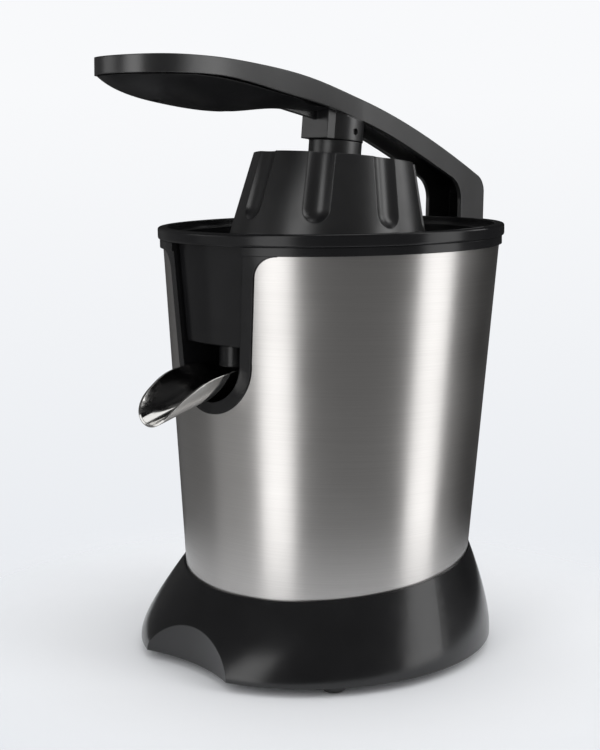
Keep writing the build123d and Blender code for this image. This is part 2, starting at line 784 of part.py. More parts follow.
# Hinge block at the rear of the housing: two ears for the arm's pin and a shelf below the leg
shelf_top_z = hinge_z - leg_half_depth - body_gap
with BuildPart() as hinge_bracket:
    with Locations((0, hinge_block_y, hinge_block_low_z)):
        Box(
            2 * hinge_half_width,
            hinge_block_wall,
            hinge_block_high_z - hinge_block_low_z,
            align=(Align.CENTER, Align.MIN, Align.MIN),
        )
    with Locations((0, hinge_face_y, shelf_top_z)):
        Box(
            2 * hinge_half_width,
            leg_half_depth + hinge_ear_radius / 2,
            hinge_shelf_height,
            align=(Align.CENTER, Align.MIN, Align.MAX),
        )
    for side in (1, -1):
        with BuildSketch(Plane.YZ.offset(side * (hinge_half_width - hinge_ear_wall / 2))) as ear_outline:
            with Locations((hinge_y, hinge_z)):
                Circle(hinge_ear_radius)
                Rectangle(leg_half_depth + body_gap, 2 * hinge_ear_radius, align=(Align.MAX, Align.CENTER))
                Rectangle(2 * hinge_ear_radius, leg_half_depth + body_gap, align=(Align.CENTER, Align.MAX))
        extrude(amount=hinge_ear_wall / 2, both=True)
    with BuildSketch(Plane.XZ) as lining_cone:
        with BuildLine():
            Polyline(
                (0, hinge_block_low_z - overrun),
                (sleeve_radius(hinge_block_low_z - overrun) - sleeve_wall, hinge_block_low_z - overrun),
                (sleeve_radius(rim_top_z) - sleeve_wall, rim_top_z),
                (0, rim_top_z),
                close=True,
            )
        make_face()
    revolve(lining_cone.sketch, axis=Axis.Z, mode=Mode.SUBTRACT)
    with Locations((0, hinge_y, hinge_z)):
        Cylinder(hinge_pin_radius, 2 * front_reach, rotation=(0, 90, 0), mode=Mode.SUBTRACT)
    hinge_screw_shanks(Mode.SUBTRACT)
hinge_bracket.part.label = "hinge_bracket"
export_step(hinge_bracket.part, "parts/hinge_bracket.step")

# Screws that hold the hinge block to the housing wall
with BuildPart() as hinge_screws:
    hinge_screw_shanks()
    with Locations(*hinge_screw_places):
        Cylinder(hinge_screw_head, head_height, rotation=(-90, 0, 0), align=BOTTOM)
hinge_screws.part.label = "hinge_screws"
export_step(hinge_screws.part, "parts/hinge_screws.step")

# Hinge pin, fixed in the ears
with BuildPart() as hinge_pin:
    with Locations((0, hinge_y, hinge_z)):
        Cylinder(hinge_pin_radius, 2 * hinge_half_width, rotation=(0, 90, 0))
hinge_pin.part.label = "hinge_pin"
export_step(hinge_pin.part, "parts/hinge_pin.step")

# Bushes in the foot of the arm, running on the pin
with BuildPart() as hinge_bushes:
    for side in (1, -1):
        with Locations((side * arm_half_width / 2, hinge_y, hinge_z)):
            Cylinder(hinge_pin_radius + hinge_bush_wall, arm_half_width, rotation=(0, 90, 0))
            Cylinder(hinge_pin_radius + running_gap, arm_half_width, rotation=(0, 90, 0), mode=Mode.SUBTRACT)
hinge_bushes.part.label = "hinge_bushes"
export_step(hinge_bushes.part, "parts/hinge_bushes.step")


# Lever arm
def arm_points(front_shares, rear_shares, drop):
    """Points along one line of the arm, in (Y, Z), lowered by a drop."""
    front = [(y * arm_reach, z * arm_crest_z - drop) for y, z in front_shares]
    rear = [(y * arm_rear_y, z * arm_crest_z - drop) for y, z in rear_shares]
    return front + rear


def arm_outline(drop, rear_y):
    """Edges of the arm's top line and the back of its leg down to the hinge height."""
    top = arm_points(arm_top_front_shares, arm_top_rear_shares, drop)
    leg_top = (rear_y, top[-1][1] - elbow_drop)
    top_line = Spline(*top)
    TangentArc(top[-1], leg_top, tangent=top_line % 1)
    return top[0], leg_top


def paddle_outline(inset):
    """Edges of one half of the arm seen from above, set in by a wall."""
    half = arm_half_width - inset
    reach = arm_reach - inset
    rear = arm_rear_y + overrun
    neck = (half, arm_neck_share * arm_rear_y)
    shoulder = [(x * (paddle_half_width - inset), y * reach) for y, x in paddle_shares]
    Spline((0, -reach), *shoulder, neck, tangents=((1, 0), (0, 1)), tangent_scalars=(1, 1))
    Polyline(neck, (half, rear), (0, rear), (0, -reach))


def fascia_height(y_share):
    """Height of the fascia line at a share of the front reach."""
    for (low_y, low_z), (high_y, high_z) in zip(arm_low_front_shares, arm_low_front_shares[1:]):
        if low_y <= y_share <= high_y:
            step = (y_share - low_y) / (high_y - low_y)
            return arm_crest_z * (low_z + step * (high_z - low_z))
    return arm_crest_z * arm_low_front_shares[-1][1]


arm_span = 2 * (paddle_half_width + overrun)
arm_side = Plane.YZ.offset(-arm_span / 2)
arm_plan = Plane.XY.offset(hinge_z - leg_half_depth - overrun)
leg_front_y = hinge_y - leg_half_depth
low_points = arm_points(arm_low_front_shares, arm_low_rear_shares, 0)
dome_lean = radians(dome_tilt_deg)
dome_direction = Vector(0, sin(dome_lean), cos(dome_lean))


def dome_point(height):
    """Point on the leaning dome axis at a height."""
    return Vector(0, (height - dome_cross_z) * tan(dome_lean), height)


def dome_plane(height):
    """Plane square to the dome axis at a height."""
    return Plane(origin=dome_point(height), x_dir=(1, 0, 0), z_dir=dome_direction)


arm_sleeve_z = dome_top_z + collar_height + arm_sleeve_gap
with BuildPart() as arm_pocket:
    with BuildSketch(arm_side) as pocket_side:
        with BuildLine():
            pocket_start, pocket_end = arm_outline(arm_wall, arm_rear_y - arm_wall)
            pocket_floor = hinge_z + leg_half_depth + arm_wall
            Polyline(
                pocket_end,
                (arm_rear_y - arm_wall, pocket_floor),
                (-arm_reach, pocket_floor),
                pocket_start,
            )
        make_face()
    extrude(amount=arm_span)
    with BuildSketch(arm_plan) as pocket_plan:
        with BuildLine():
            paddle_outline(arm_wall)
        make_face()
        mirror(about=Plane.YZ)
    extrude(amount=arm_crest_z, mode=Mode.INTERSECT)

with BuildPart() as stem_housing:
    with BuildSketch(dome_plane(arm_sleeve_z)) as stem_housing_outline:
        Circle(arm_sleeve_radius)
        Rectangle(2 * arm_sleeve_box_half_width, arm_sleeve_box, align=(Align.CENTER, Align.MAX))
    extrude(amount=arm_crest_z - arm_sleeve_z)
    for side in (1, -1):
        with BuildSketch(Plane.YZ.offset(side * arm_half_width)) as outside_arm:
            with BuildLine():
                Polyline(
                    low_points[-4],
                    low_points[-3],
                    (low_points[-3][0], arm_crest_z),
                    (low_points[-4][0], arm_crest_z),
                    close=True,
                )
            make_face()
        extrude(amount=side * arm_sleeve_radius, mode=Mode.SUBTRACT)
    with BuildSketch(Plane.YZ.offset(-gusset_half_width)) as gusset_outline:
        with BuildLine():
            Polyline(
                (0, arm_sleeve_z + collar_height),
                (-arm_sleeve_box, arm_sleeve_z + collar_height + arm_wall),
                (gusset_share * arm_reach, low_points[-4][1]),
                (0, arm_crest_z),
                close=True,
            )
        make_face()
    extrude(amount=2 * gusset_half_width)
    with BuildSketch(arm_side) as above_arm:
        with BuildLine():
            above_start, above_end = arm_outline(arm_wall / 2, arm_rear_y)
            Polyline(
                above_end,
                (arm_rear_y + overrun, above_end[1]),
                (arm_rear_y + overrun, arm_crest_z + arm_span),
                (-arm_reach, arm_crest_z + arm_span),
                above_start,
            )
        make_face()
    extrude(amount=arm_span, mode=Mode.SUBTRACT)

with BuildPart() as arm_shell:
    with BuildSketch(arm_side) as arm_profile:
        with BuildLine():
            arm_start, arm_end = arm_outline(0, arm_rear_y)
            Line(arm_end, (arm_rear_y, hinge_z))
            ThreePointArc((arm_rear_y, hinge_z), (hinge_y, hinge_z - leg_half_depth), (leg_front_y, hinge_z))
            inner_elbow_end = (leg_front_y, low_points[-1][1] - inner_elbow_drop)
            Line((leg_front_y, hinge_z), inner_elbow_end)
            low_line = Spline(*low_points)
            TangentArc(low_points[-1], inner_elbow_end, tangent=low_line % 1)
            Line(low_points[0], arm_start)
        make_face()
    extrude(amount=arm_span)
    with BuildSketch(arm_plan) as arm_plan_outline:
        with BuildLine():
            paddle_outline(0)
        make_face()
        mirror(about=Plane.YZ)
    extrude(amount=arm_crest_z, mode=Mode.INTERSECT)
    add(arm_pocket.part, mode=Mode.SUBTRACT)
    add(stem_housing.part)
    with BuildSketch(dome_plane(arm_sleeve_z)) as stem_bore:
        Circle(stem_radius + seat_gap)
    extrude(amount=stem_rise + seat_gap, mode=Mode.SUBTRACT)
    with Locations(dome_point(arm_sleeve_z + cross_pin_rise)):
        Cylinder(cross_pin_radius, arm_span, rotation=(0, 90, 0), mode=Mode.SUBTRACT)
    with Locations((0, hinge_y, hinge_z)):
        Cylinder(hinge_pin_radius + hinge_bush_wall, arm_span, rotation=(0, 90, 0), mode=Mode.SUBTRACT)
    for share in cover_screw_shares:
        with Locations((0, share * arm_reach)):
            post(cover_boss_radius, fascia_height(share) + body_gap, arm_crest_z - arm_wall)
            post(
                cover_screw_radius,
                fascia_height(share),
                fascia_height(share) + cover_screw_bite,
                mode=Mode.SUBTRACT,
            )
arm_shell.part.label = "arm_shell"
export_step(arm_shell.part, "parts/arm_shell.step")

# Lower cover of the grip: a hull that hangs under the fascia
def belly(inset, shares, rise):
    """Loft the hull through its sections, each an arc hung from the fascia line under a lifted top."""
    sections = []
    for y_share, width_share, depth_share in shares:
        with BuildSketch(Plane.XZ.offset(-y_share * arm_reach)) as section:
            half = width_share * belly_half_width - inset
            top_z = fascia_height(y_share) - body_gap
            low_z = top_z - depth_share * belly_depth + inset
            with BuildLine():
                if rise:
                    edge_z = top_z - cover_edge_share * inset
                    ThreePointArc((half, edge_z), (0, low_z), (-half, edge_z))
                    Polyline((-half, edge_z), (-half, top_z + rise), (half, top_z + rise), (half, edge_z))
                else:
                    ThreePointArc((half, top_z), (0, low_z), (-half, top_z))
                    Line((-half, top_z), (half, top_z))
            make_face()
        sections.append(section.sketch)
    loft(sections)


def cover_floor(share):
    """Height of the screw seats in the cover."""
    return fascia_height(share) - 2 * cover_wall


with BuildPart() as cover_hollow:
    belly(cover_wall, belly_shares[2:-1], overrun)
    for share in cover_screw_shares:
        with Locations((0, share * arm_reach)):
            post(cover_boss_radius + cover_wall, hinge_z, arm_crest_z, mode=Mode.SUBTRACT)

with BuildPart() as arm_cover:
    belly(0, belly_shares, 0)
    add(cover_hollow.part, mode=Mode.SUBTRACT)
    for share in cover_screw_shares:
        with Locations((0, share * arm_reach)):
            post(cover_screw_radius + seat_gap, hinge_z, arm_crest_z, mode=Mode.SUBTRACT)
            post(cover_screw_head + seat_gap, hinge_z, cover_floor(share), mode=Mode.SUBTRACT)
    with Locations((0, gusset_share * arm_reach - body_gap, hinge_z)):
        Box(
            2 * (gusset_half_width + seat_gap),
            arm_reach,
            arm_crest_z,
            align=(Align.CENTER, Align.MIN, Align.MIN),
            mode=Mode.SUBTRACT,
        )
arm_cover.part.label = "arm_cover"
export_step(arm_cover.part, "parts/arm_cover.step")

# Screws of the lower cover
with BuildPart() as arm_screws:
    for share in cover_screw_shares:
        with Locations((0, share * arm_reach)):
            post(cover_screw_radius, cover_floor(share), fascia_height(share) + cover_screw_bite)
            post(cover_screw_head, cover_floor(share) - head_height, cover_floor(share))
arm_screws.part.label = "arm_screws"
export_step(arm_screws.part, "parts/arm_screws.step")

# Press dome: a fluted, tapered cup with a hole for the stem
dome_height = dome_top_z - dome_low_z
dome_facing = (0, -cos(dome_lean), sin(dome_lean))
dome_slant = Plane(origin=dome_point(dome_low_z), x_dir=(1, 0, 0), z_dir=dome_facing)
dome_axis = Axis(origin=dome_point(dome_low_z), direction=dome_direction)
dome_length = dome_height / cos(dome_lean)
wall_taper = degrees(atan((dome_low_radius - dome_top_radius) / dome_length))


def dome_body(inset, top_cut):
    """Revolve the tapered cup, set in by a wall and shortened at the top."""
    with BuildSketch(dome_slant) as cup:
        with BuildLine():
            Polyline(
                (0, 0),
                (dome_low_radius - inset, 0),
                (dome_top_radius - inset, dome_length - top_cut),
                (0, dome_length - top_cut),
                close=True,
            )
        make_face()
        fillet(cup.vertices().group_by(Axis.Z)[-1].sort_by(Axis.X)[-1], dome_round)
    revolve(cup.sketch, axis=dome_axis)


def dome_flutes(growth):
    """Cut the round-ended flutes, each along the slope of the wall."""
    start = dome_length * (1 - flute_length_share)
    radius = flute_radius + growth
    for index in range(flute_count):
        angle = flute_phase_deg - 90 + index * 360 / flute_count
        reach = dome_low_radius + (dome_top_radius - dome_low_radius) * start / dome_length
        reach = reach + flute_radius - flute_bite
        foot = Location(dome_plane(dome_low_z)) * Location((0, 0, start), (0, 0, angle))
        lean = foot * Location((reach, 0, 0), (0, -wall_taper, 0))
        with Locations(lean):
            Cylinder(radius, dome_length, align=BOTTOM, mode=Mode.SUBTRACT)
            Sphere(radius, mode=Mode.SUBTRACT)


with BuildPart() as dome_hollow:
    dome_body(dome_wall, dome_wall)
    dome_flutes(dome_wall)

with BuildPart() as press_dome:
    dome_body(0, 0)
    dome_flutes(0)
    add(dome_hollow.part, mode=Mode.SUBTRACT)
    with BuildSketch(dome_plane(dome_top_z).offset(-overrun)) as dome_hole:
        Circle(stem_radius)
    extrude(amount=2 * overrun, mode=Mode.SUBTRACT)
press_dome.part.label = "press_dome"
export_step(press_dome.part, "parts/press_dome.step")

# Stem: spigot through the dome, collar, and shank up into the arm
stem_base = dome_plane(dome_top_z)
with BuildPart() as press_stem:
    with BuildSketch(stem_base.offset(-dome_wall - stem_nut_height)) as spigot_outline:
        Circle(stem_radius)
    extrude(amount=dome_wall + stem_nut_height + collar_height + stem_rise)
    with BuildSketch(stem_base) as collar_outline:
        Circle(collar_radius)
    extrude(amount=collar_height)
    with Locations(dome_point(arm_sleeve_z + cross_pin_rise)):
        Cylinder(cross_pin_radius, arm_span, rotation=(0, 90, 0), mode=Mode.SUBTRACT)
press_stem.part.label = "press_stem"
export_step(press_stem.part, "parts/press_stem.step")

# Nut that clamps the dome on the stem from inside
with BuildPart() as stem_nut:
    with BuildSketch(stem_base.offset(-dome_wall - stem_nut_height)) as nut_outline:
        RegularPolygon(stem_nut_radius, stem_nut_sides)
        Circle(stem_radius, mode=Mode.SUBTRACT)
    extrude(amount=stem_nut_height)
stem_nut.part.label = "stem_nut"
export_step(stem_nut.part, "parts/stem_nut.step")

# Cross pin through the arm and the stem
with BuildPart() as cross_pin:
    with Locations(dome_point(arm_sleeve_z + cross_pin_rise)):
        Cylinder(cross_pin_radius, 2 * (arm_sleeve_radius - cross_pin_inset), rotation=(0, 90, 0))
cross_pin.part.label = "cross_pin"
export_step(cross_pin.part, "parts/cross_pin.step")

# Juicing cone: a pointed dome with ribs, hollow, on a hub
cone_top_z = cone_low_z + cone_height
cone_waist_z = cone_low_z + cone_height * cone_waist_rise_share


def cone_body(outset):
    """Revolve the reamer's outer curve, pushed out by the height of a rib."""
    with BuildSketch(Plane.XZ) as reamer:
        with BuildLine():
            foot = (cone_radius, cone_low_z)
            skirt = (cone_radius, cone_low_z + cone_skirt)
            base = (cone_radius * cone_base_share + outset, cone_low_z + cone_skirt)
            waist = (cone_radius * cone_waist_share + outset, cone_waist_z)
            tip = (cone_tip_radius, cone_top_z)
            Polyline((0, cone_top_z), (0, cone_low_z), foot, skirt, base)
            ThreePointArc(base, waist, tip)
            Line(tip, (0, cone_top_z))
        make_face()
    revolve(reamer.sketch, axis=Axis.Z)


with BuildPart() as cone_ribs:
    cone_body(cone_rib_height)
    with BuildSketch(Plane.XY.offset(cone_low_z)) as rib_plan:
        with PolarLocations(0, cone_rib_count, angular_range=180):
            Rectangle(2 * cone_radius, cone_rib_width)
    extrude(amount=cone_height, mode=Mode.INTERSECT)

with BuildPart() as cone_hollow:
    with BuildSketch(Plane.XZ) as hollow_section:
        with BuildLine():
            Polyline(
                (cone_hub_radius, cone_low_z - overrun),
                (cone_radius - cone_wall, cone_low_z - overrun),
                (cone_radius - cone_wall, cone_low_z),
                (cone_radius * cone_base_share - 2 * cone_wall, cone_low_z + cone_skirt),
                (cone_hub_radius + cone_wall, cone_waist_z),
                (cone_hub_radius, cone_waist_z),
                close=True,
            )
        make_face()
    revolve(hollow_section.sketch, axis=Axis.Z)

with BuildPart() as juicing_cone:
    cone_body(0)
    add(cone_ribs.part)
    add(cone_hollow.part, mode=Mode.SUBTRACT)
    post(cone_hub_radius + overrun, cone_low_z - overrun, cone_low_z + cone_hub_lift, mode=Mode.SUBTRACT)
    post(shaft_radius + running_gap, cone_low_z, cone_low_z + shaft_drive, mode=Mode.SUBTRACT)
juicing_cone.part.label = "juicing_cone"
export_step(juicing_cone.part, "parts/juicing_cone.step")

# Output shaft, from the second gear wheel up into the cone
with BuildPart() as output_shaft:
    post(shaft_radius, shaft_low_z, cone_low_z + shaft_drive)
output_shaft.part.label = "output_shaft"
export_step(output_shaft.part, "parts/output_shaft.step")


# Spur gears with involute flanks
def involute(angle):
    """Involute of an angle in radians."""
    return tan(angle) - angle


def gear_points(teeth, phase_deg, place):
    """Outline of a spur gear as a closed list of points, one tooth centred on the phase."""
    pitch = gear_module * teeth / 2
    base = pitch * cos(radians(pressure_angle_deg))
    root = pitch - gear_root_share * gear_module
    tip = pitch + gear_module
    half_pitch = pi / (2 * teeth) - gear_backlash / (2 * pitch) + involute(radians(pressure_angle_deg))
    flank = []
    start = max(root, base)
    for radius in (root, start, (start + pitch) / 2, (pitch + tip) / 2, tip):
        roll = acos(min(1, base / max(radius, base)))
        flank.append((radius, half_pitch - involute(roll)))
    flank = sorted(set(flank))
    points = []
    for index in range(teeth):
        centre = radians(phase_deg) + 2 * pi * index / teeth
        rising = [(radius, centre - spread) for radius, spread in flank]
        falling = [(radius, centre + spread) for radius, spread in reversed(flank)]
        for radius, angle in rising + falling:
            points.append((place[0] + radius * cos(angle), place[1] + radius * sin(angle)))
    return points


def gear_blank(teeth, phase_deg, low, height, place=(0, 0)):
    """Extrude a spur gear from a height, about an upright axis at a place."""
    with BuildSketch(Plane.XY.offset(low)) as gear_face:
        with BuildLine():
            Polyline(*gear_points(teeth, phase_deg, place), close=True)
        make_face()
    extrude(gear_face.sketch, amount=height)


wheel_half_pitch_deg = 180 / wheel_teeth
first_wheel_z = first_stage_z + (first_stage_width - wheel_width) / 2
second_pinion_z = first_stage_z + first_stage_width + second_stage_gap
idler_place = (0, centre_distance)

# Output wheel, keyed to the output shaft
with BuildPart() as output_gear:
    gear_blank(wheel_teeth, 90 + wheel_half_pitch_deg, output_wheel_z, output_wheel_width)
    with PolarLocations(web_hole_ring, web_hole_count):
        post(web_hole_radius, output_wheel_z, output_wheel_z + output_wheel_width, mode=Mode.SUBTRACT)
    post(shaft_radius, output_wheel_z, output_wheel_z + output_wheel_width, mode=Mode.SUBTRACT)
output_gear.part.label = "output_gear"
export_step(output_gear.part, "parts/output_gear.step")

# Idler: first-stage wheel and second-stage pinion in one piece, on a fixed axle
with BuildPart() as idler_gear:
    gear_blank(wheel_teeth, -90 + wheel_half_pitch_deg, first_wheel_z, wheel_width, idler_place)
    gear_blank(pinion_teeth, -90, second_pinion_z, second_pinion_width, idler_place)
    with Locations(idler_place):
        post(gear_module * pinion_teeth / 2 - gear_root_share * gear_module, first_wheel_z, second_pinion_z)
        with PolarLocations(web_hole_ring, web_hole_count):
            post(web_hole_radius, first_wheel_z, first_wheel_z + wheel_width, mode=Mode.SUBTRACT)
        post(
            idler_axle_radius + running_gap,
            first_wheel_z,
            second_pinion_z + second_pinion_width,
            mode=Mode.SUBTRACT,
        )
idler_gear.part.label = "idler_gear"
export_step(idler_gear.part, "parts/idler_gear.step")

# Gearbox plate: sits on the housing shelf, carries the top motor bearing and the idler axle
plate_low_z = shelf_z
plate_high_z = shelf_z + gear_plate_thickness
plate_radius = sleeve_radius(shelf_z) + housing_shift - housing_wall - body_gap
motor_corner = stator_side / 2 - motor_screw_inset
stator_top_z = stator_low_z + stator_height
bearing_top_z = plate_high_z + bearing_height - body_gap
with BuildPart() as gearbox_plate:
    post(plate_radius, plate_low_z, plate_high_z)
    post(bracket_boss_radius, plate_high_z, plate_high_z + bearing_height - body_gap)
    with GridLocations(2 * motor_corner, 2 * motor_corner, 2, 2):
        post(motor_post_radius, stator_top_z, plate_low_z)
        post(motor_screw_radius, stator_top_z, plate_high_z, mode=Mode.SUBTRACT)
    post(bearing_radius, bearing_top_z - bearing_height, bearing_top_z, mode=Mode.SUBTRACT)
    post(rotor_shaft_radius + body_gap, plate_low_z, plate_high_z, mode=Mode.SUBTRACT)
    with Locations(idler_place):
        post(idler_axle_radius, plate_low_z, plate_high_z, mode=Mode.SUBTRACT)
    for angle in plate_screw_angles:
        with Locations(around(plate_screw_ring, angle)):
            post(gear_screw_radius, plate_low_z, plate_high_z, mode=Mode.SUBTRACT)
    with Locations(*case_screw_places):
        post(gear_screw_radius, plate_low_z, plate_high_z, mode=Mode.SUBTRACT)
gearbox_plate.part.label = "gearbox_plate"
export_step(gearbox_plate.part, "parts/gearbox_plate.step")

# Gearbox cover: a long cup over both gear stages
case_top_z = plate_high_z + gear_case_height
case_boss_top_z = case_top_z + gear_boss_height


def case_outline(height, radius):
    """Outline of the gearbox: the two gear axes, wrapped at a radius."""
    with BuildSketch(Plane.XY.offset(height)) as outline:
        Circle(radius)
        with Locations(idler_place):
            Circle(radius)
            Rectangle(2 * radius, centre_distance, align=(Align.CENTER, Align.MAX))
    return outline.sketch


with BuildPart() as gearbox_cover:
    extrude(case_outline(plate_high_z, case_inner_radius + gear_case_wall), amount=gear_case_height)
    extrude(
        case_outline(plate_high_z, case_inner_radius + gear_case_wall + gear_case_flange),
        amount=gear_case_flange_height,
    )
    extrude(
        case_outline(plate_high_z, case_inner_radius),
        amount=gear_case_height - gear_case_wall,
        mode=Mode.SUBTRACT,
    )
    post(gear_boss_radius, case_top_z, case_boss_top_z)
    bush_bore = shaft_radius + bush_wall + seat_gap
    post(bush_bore, case_top_z - gear_case_wall, case_boss_top_z, mode=Mode.SUBTRACT)
    with Locations(idler_place):
        post(idler_axle_radius, case_top_z - gear_case_wall, case_top_z, mode=Mode.SUBTRACT)
    with Locations((guide_pin_reach, 0), (-guide_pin_reach, 0)):
        post(guide_pin_radius, case_top_z - gear_case_wall, case_top_z, mode=Mode.SUBTRACT)
    with Locations(*case_screw_places):
        post(gear_screw_radius, plate_high_z, case_top_z, mode=Mode.SUBTRACT)
gearbox_cover.part.label = "gearbox_cover"
export_step(gearbox_cover.part, "parts/gearbox_cover.step")

# Screws of the gearbox: cover to plate, and plate to the housing shelf
with BuildPart() as gearbox_screws:
    with Locations(*case_screw_places):
        post(gear_screw_radius, plate_low_z, plate_high_z + gear_case_flange_height)
        post(gear_screw_head, plate_high_z + gear_case_flange_height,
             plate_high_z + gear_case_flange_height + head_height)
    for angle in plate_screw_angles:
        with Locations(around(plate_screw_ring, angle)):
            post(gear_screw_radius, plate_low_z - shelf_height, plate_high_z)
            post(gear_screw_head, plate_high_z, plate_high_z + head_height)
gearbox_screws.part.label = "gearbox_screws"
export_step(gearbox_screws.part, "parts/gearbox_screws.step")

# Fixed axle of the idler, held in the plate and the cover
with BuildPart() as idler_axle:
    with Locations(idler_place):
        post(idler_axle_radius, plate_low_z, case_top_z)
idler_axle.part.label = "idler_axle"
export_step(idler_axle.part, "parts/idler_axle.step")

# Plain bushes of the output shaft, one in the gearbox cover and one in the deck hub
with BuildPart() as shaft_bushes:
    for low, high in (
        (case_top_z - gear_case_wall, case_boss_top_z),
        (deck_z - hub_drop, hub_top_z - seal_height),
    ):
        post(shaft_radius + bush_wall, low, high)
        post(shaft_radius + running_gap, low, high, mode=Mode.SUBTRACT)
shaft_bushes.part.label = "shaft_bushes"
export_step(shaft_bushes.part, "parts/shaft_bushes.step")

# Guide pins that keep the thrust plate from turning
with BuildPart() as guide_pins:
    with Locations((guide_pin_reach, 0), (-guide_pin_reach, 0)):
        post(guide_pin_radius, case_top_z - gear_case_wall, case_top_z + guide_pin_height)
guide_pins.part.label = "guide_pins"
export_step(guide_pins.part, "parts/guide_pins.step")

# Thrust plate: moves down with the shaft under the press of a hand
with BuildPart() as thrust_plate:
    post(thrust_radius, thrust_z, thrust_z + thrust_thickness)
    with Locations((0, 0, thrust_z)):
        Box(
            thrust_finger_width,
            thrust_finger_length,
            thrust_thickness,
            align=(Align.CENTER, Align.MIN, Align.MIN),
        )
    post(shaft_radius + running_gap, thrust_z, thrust_z + thrust_thickness, mode=Mode.SUBTRACT)
    with Locations((guide_pin_reach, 0), (-guide_pin_reach, 0)):
        post(guide_pin_radius + running_gap, thrust_z, thrust_z + thrust_thickness, mode=Mode.SUBTRACT)
thrust_plate.part.label = "thrust_plate"
export_step(thrust_plate.part, "parts/thrust_plate.step")

# Collar on the shaft that bears on the thrust plate
clip_z = thrust_z + thrust_thickness + seat_gap
with BuildPart() as shaft_collar:
    post(clip_radius, clip_z, clip_z + clip_thickness)
    post(shaft_radius, clip_z, clip_z + clip_thickness, mode=Mode.SUBTRACT)
shaft_collar.part.label = "shaft_collar"
export_step(shaft_collar.part, "parts/shaft_collar.step")

# Return spring under the thrust plate, as a plain sleeve of its outer size
with BuildPart() as return_spring:
    post(spring_radius, case_boss_top_z, thrust_z)
    post(spring_radius - spring_wire, case_boss_top_z, thrust_z, mode=Mode.SUBTRACT)
return_spring.part.label = "return_spring"
export_step(return_spring.part, "parts/return_spring.step")

# Start switch on the gearbox cover, with two ears for its lever
switch_top_z = case_top_z + switch_height
switch_pivot_y = switch_y + switch_length - switch_ear_height / 2
switch_pivot_z = switch_top_z + switch_ear_height / 2
with BuildPart() as switch_body:
    with Locations((0, switch_y, case_top_z)):
        Box(switch_width, switch_length, switch_height, align=(Align.CENTER, Align.MIN, Align.MIN))
    for side in (1, -1):
        with Locations((side * (switch_width - switch_ear) / 2, switch_y + switch_length, switch_top_z)):
            Box(
                switch_ear,
                switch_ear_height,
                switch_ear_height,
                align=(Align.CENTER, Align.MAX, Align.MIN),
            )
    with Locations((0, switch_pivot_y, switch_pivot_z)):
        Cylinder(switch_pin_radius + running_gap, 2 * switch_width, rotation=(0, 90, 0), mode=Mode.SUBTRACT)
    with Locations((0, centre_distance)):
        post(idler_axle_radius + seat_gap, case_top_z, case_top_z + seat_gap, mode=Mode.SUBTRACT)
switch_body.part.label = "switch_body"
export_step(switch_body.part, "parts/switch_body.step")

# Switch lever: a blade that rises from its pin to just under the finger of the thrust plate
lever_half_width = switch_width / 2 - switch_ear - body_gap
lever_tip_z = thrust_z - body_gap
with BuildPart() as switch_lever:
    with BuildSketch(Plane.YZ.offset(-lever_half_width)) as lever_outline:
        with BuildLine():
            tip_y = switch_pivot_y - switch_lever_reach
            Polyline(
                (switch_pivot_y, switch_pivot_z + switch_lever_wall / 2),
                (tip_y, lever_tip_z),
                (tip_y - switch_lever_wall, lever_tip_z - switch_lever_wall),
                (switch_pivot_y, switch_pivot_z - switch_lever_wall / 2),
                close=True,
            )
        make_face()
    extrude(amount=2 * lever_half_width)
    with Locations((0, switch_pivot_y, switch_pivot_z)):
        Cylinder(switch_pin_radius, switch_width, rotation=(0, 90, 0))
switch_lever.part.label = "switch_lever"
export_step(switch_lever.part, "parts/switch_lever.step")


# Motor
def sector(inner, outer, start, end, height):
    """Ring sector between two angles in degrees, on a plane at a height."""
    with BuildSketch(Plane.XY.offset(height)) as outline:
        with BuildLine():
            CenterArc((0, 0), outer, start, end - start)
            CenterArc((0, 0), inner, start, end - start)
            Line(around(inner, start)[:2], around(outer, start)[:2])
            Line(around(inner, end)[:2], around(outer, end)[:2])
        make_face()
    return outline.sketch


coil_half_span = winding_span_deg / 2
coil_edges = ((90 - coil_half_span, 90 - winding_open_deg), (90 + winding_open_deg, 90 + coil_half_span))
with BuildPart() as stator_core:
    with BuildSketch(Plane.XY.offset(stator_low_z)) as stator_outline:
        RectangleRounded(stator_side, stator_side, stator_corner)
        Circle(rotor_radius + air_gap, mode=Mode.SUBTRACT)
        with GridLocations(2 * motor_corner, 2 * motor_corner, 2, 2):
            Circle(motor_screw_radius, mode=Mode.SUBTRACT)
    extrude(amount=stator_height)
    for turn in (0, 180):
        for start, end in coil_edges:
            slot_face = sector(
                winding_inner_radius - winding_slot_gap,
                winding_outer_radius + winding_slot_gap,
                start + turn - winding_slot_deg,
                end + turn + winding_slot_deg,
                stator_low_z,
            )
            extrude(slot_face, amount=stator_height, mode=Mode.SUBTRACT)
stator_core.part.label = "stator_core"
export_step(stator_core.part, "parts/stator_core.step")

# Field windings: two saddle coils through the stator slots
with BuildPart() as stator_windings:
    for turn in (0, 180):
        coil_face = sector(
            winding_inner_radius,
            winding_outer_radius,
            90 - coil_half_span + turn,
            90 + coil_half_span + turn,
            stator_low_z - winding_rise,
        )
        extrude(coil_face, amount=stator_height + 2 * winding_rise)
        window_face = sector(
            winding_inner_radius - overrun,
            winding_outer_radius + overrun,
            90 - winding_open_deg + turn,
            90 + winding_open_deg + turn,
            stator_low_z - seat_gap,
        )
        extrude(window_face, amount=stator_height + 2 * seat_gap, mode=Mode.SUBTRACT)
stator_windings.part.label = "stator_windings"
export_step(stator_windings.part, "parts/stator_windings.step")

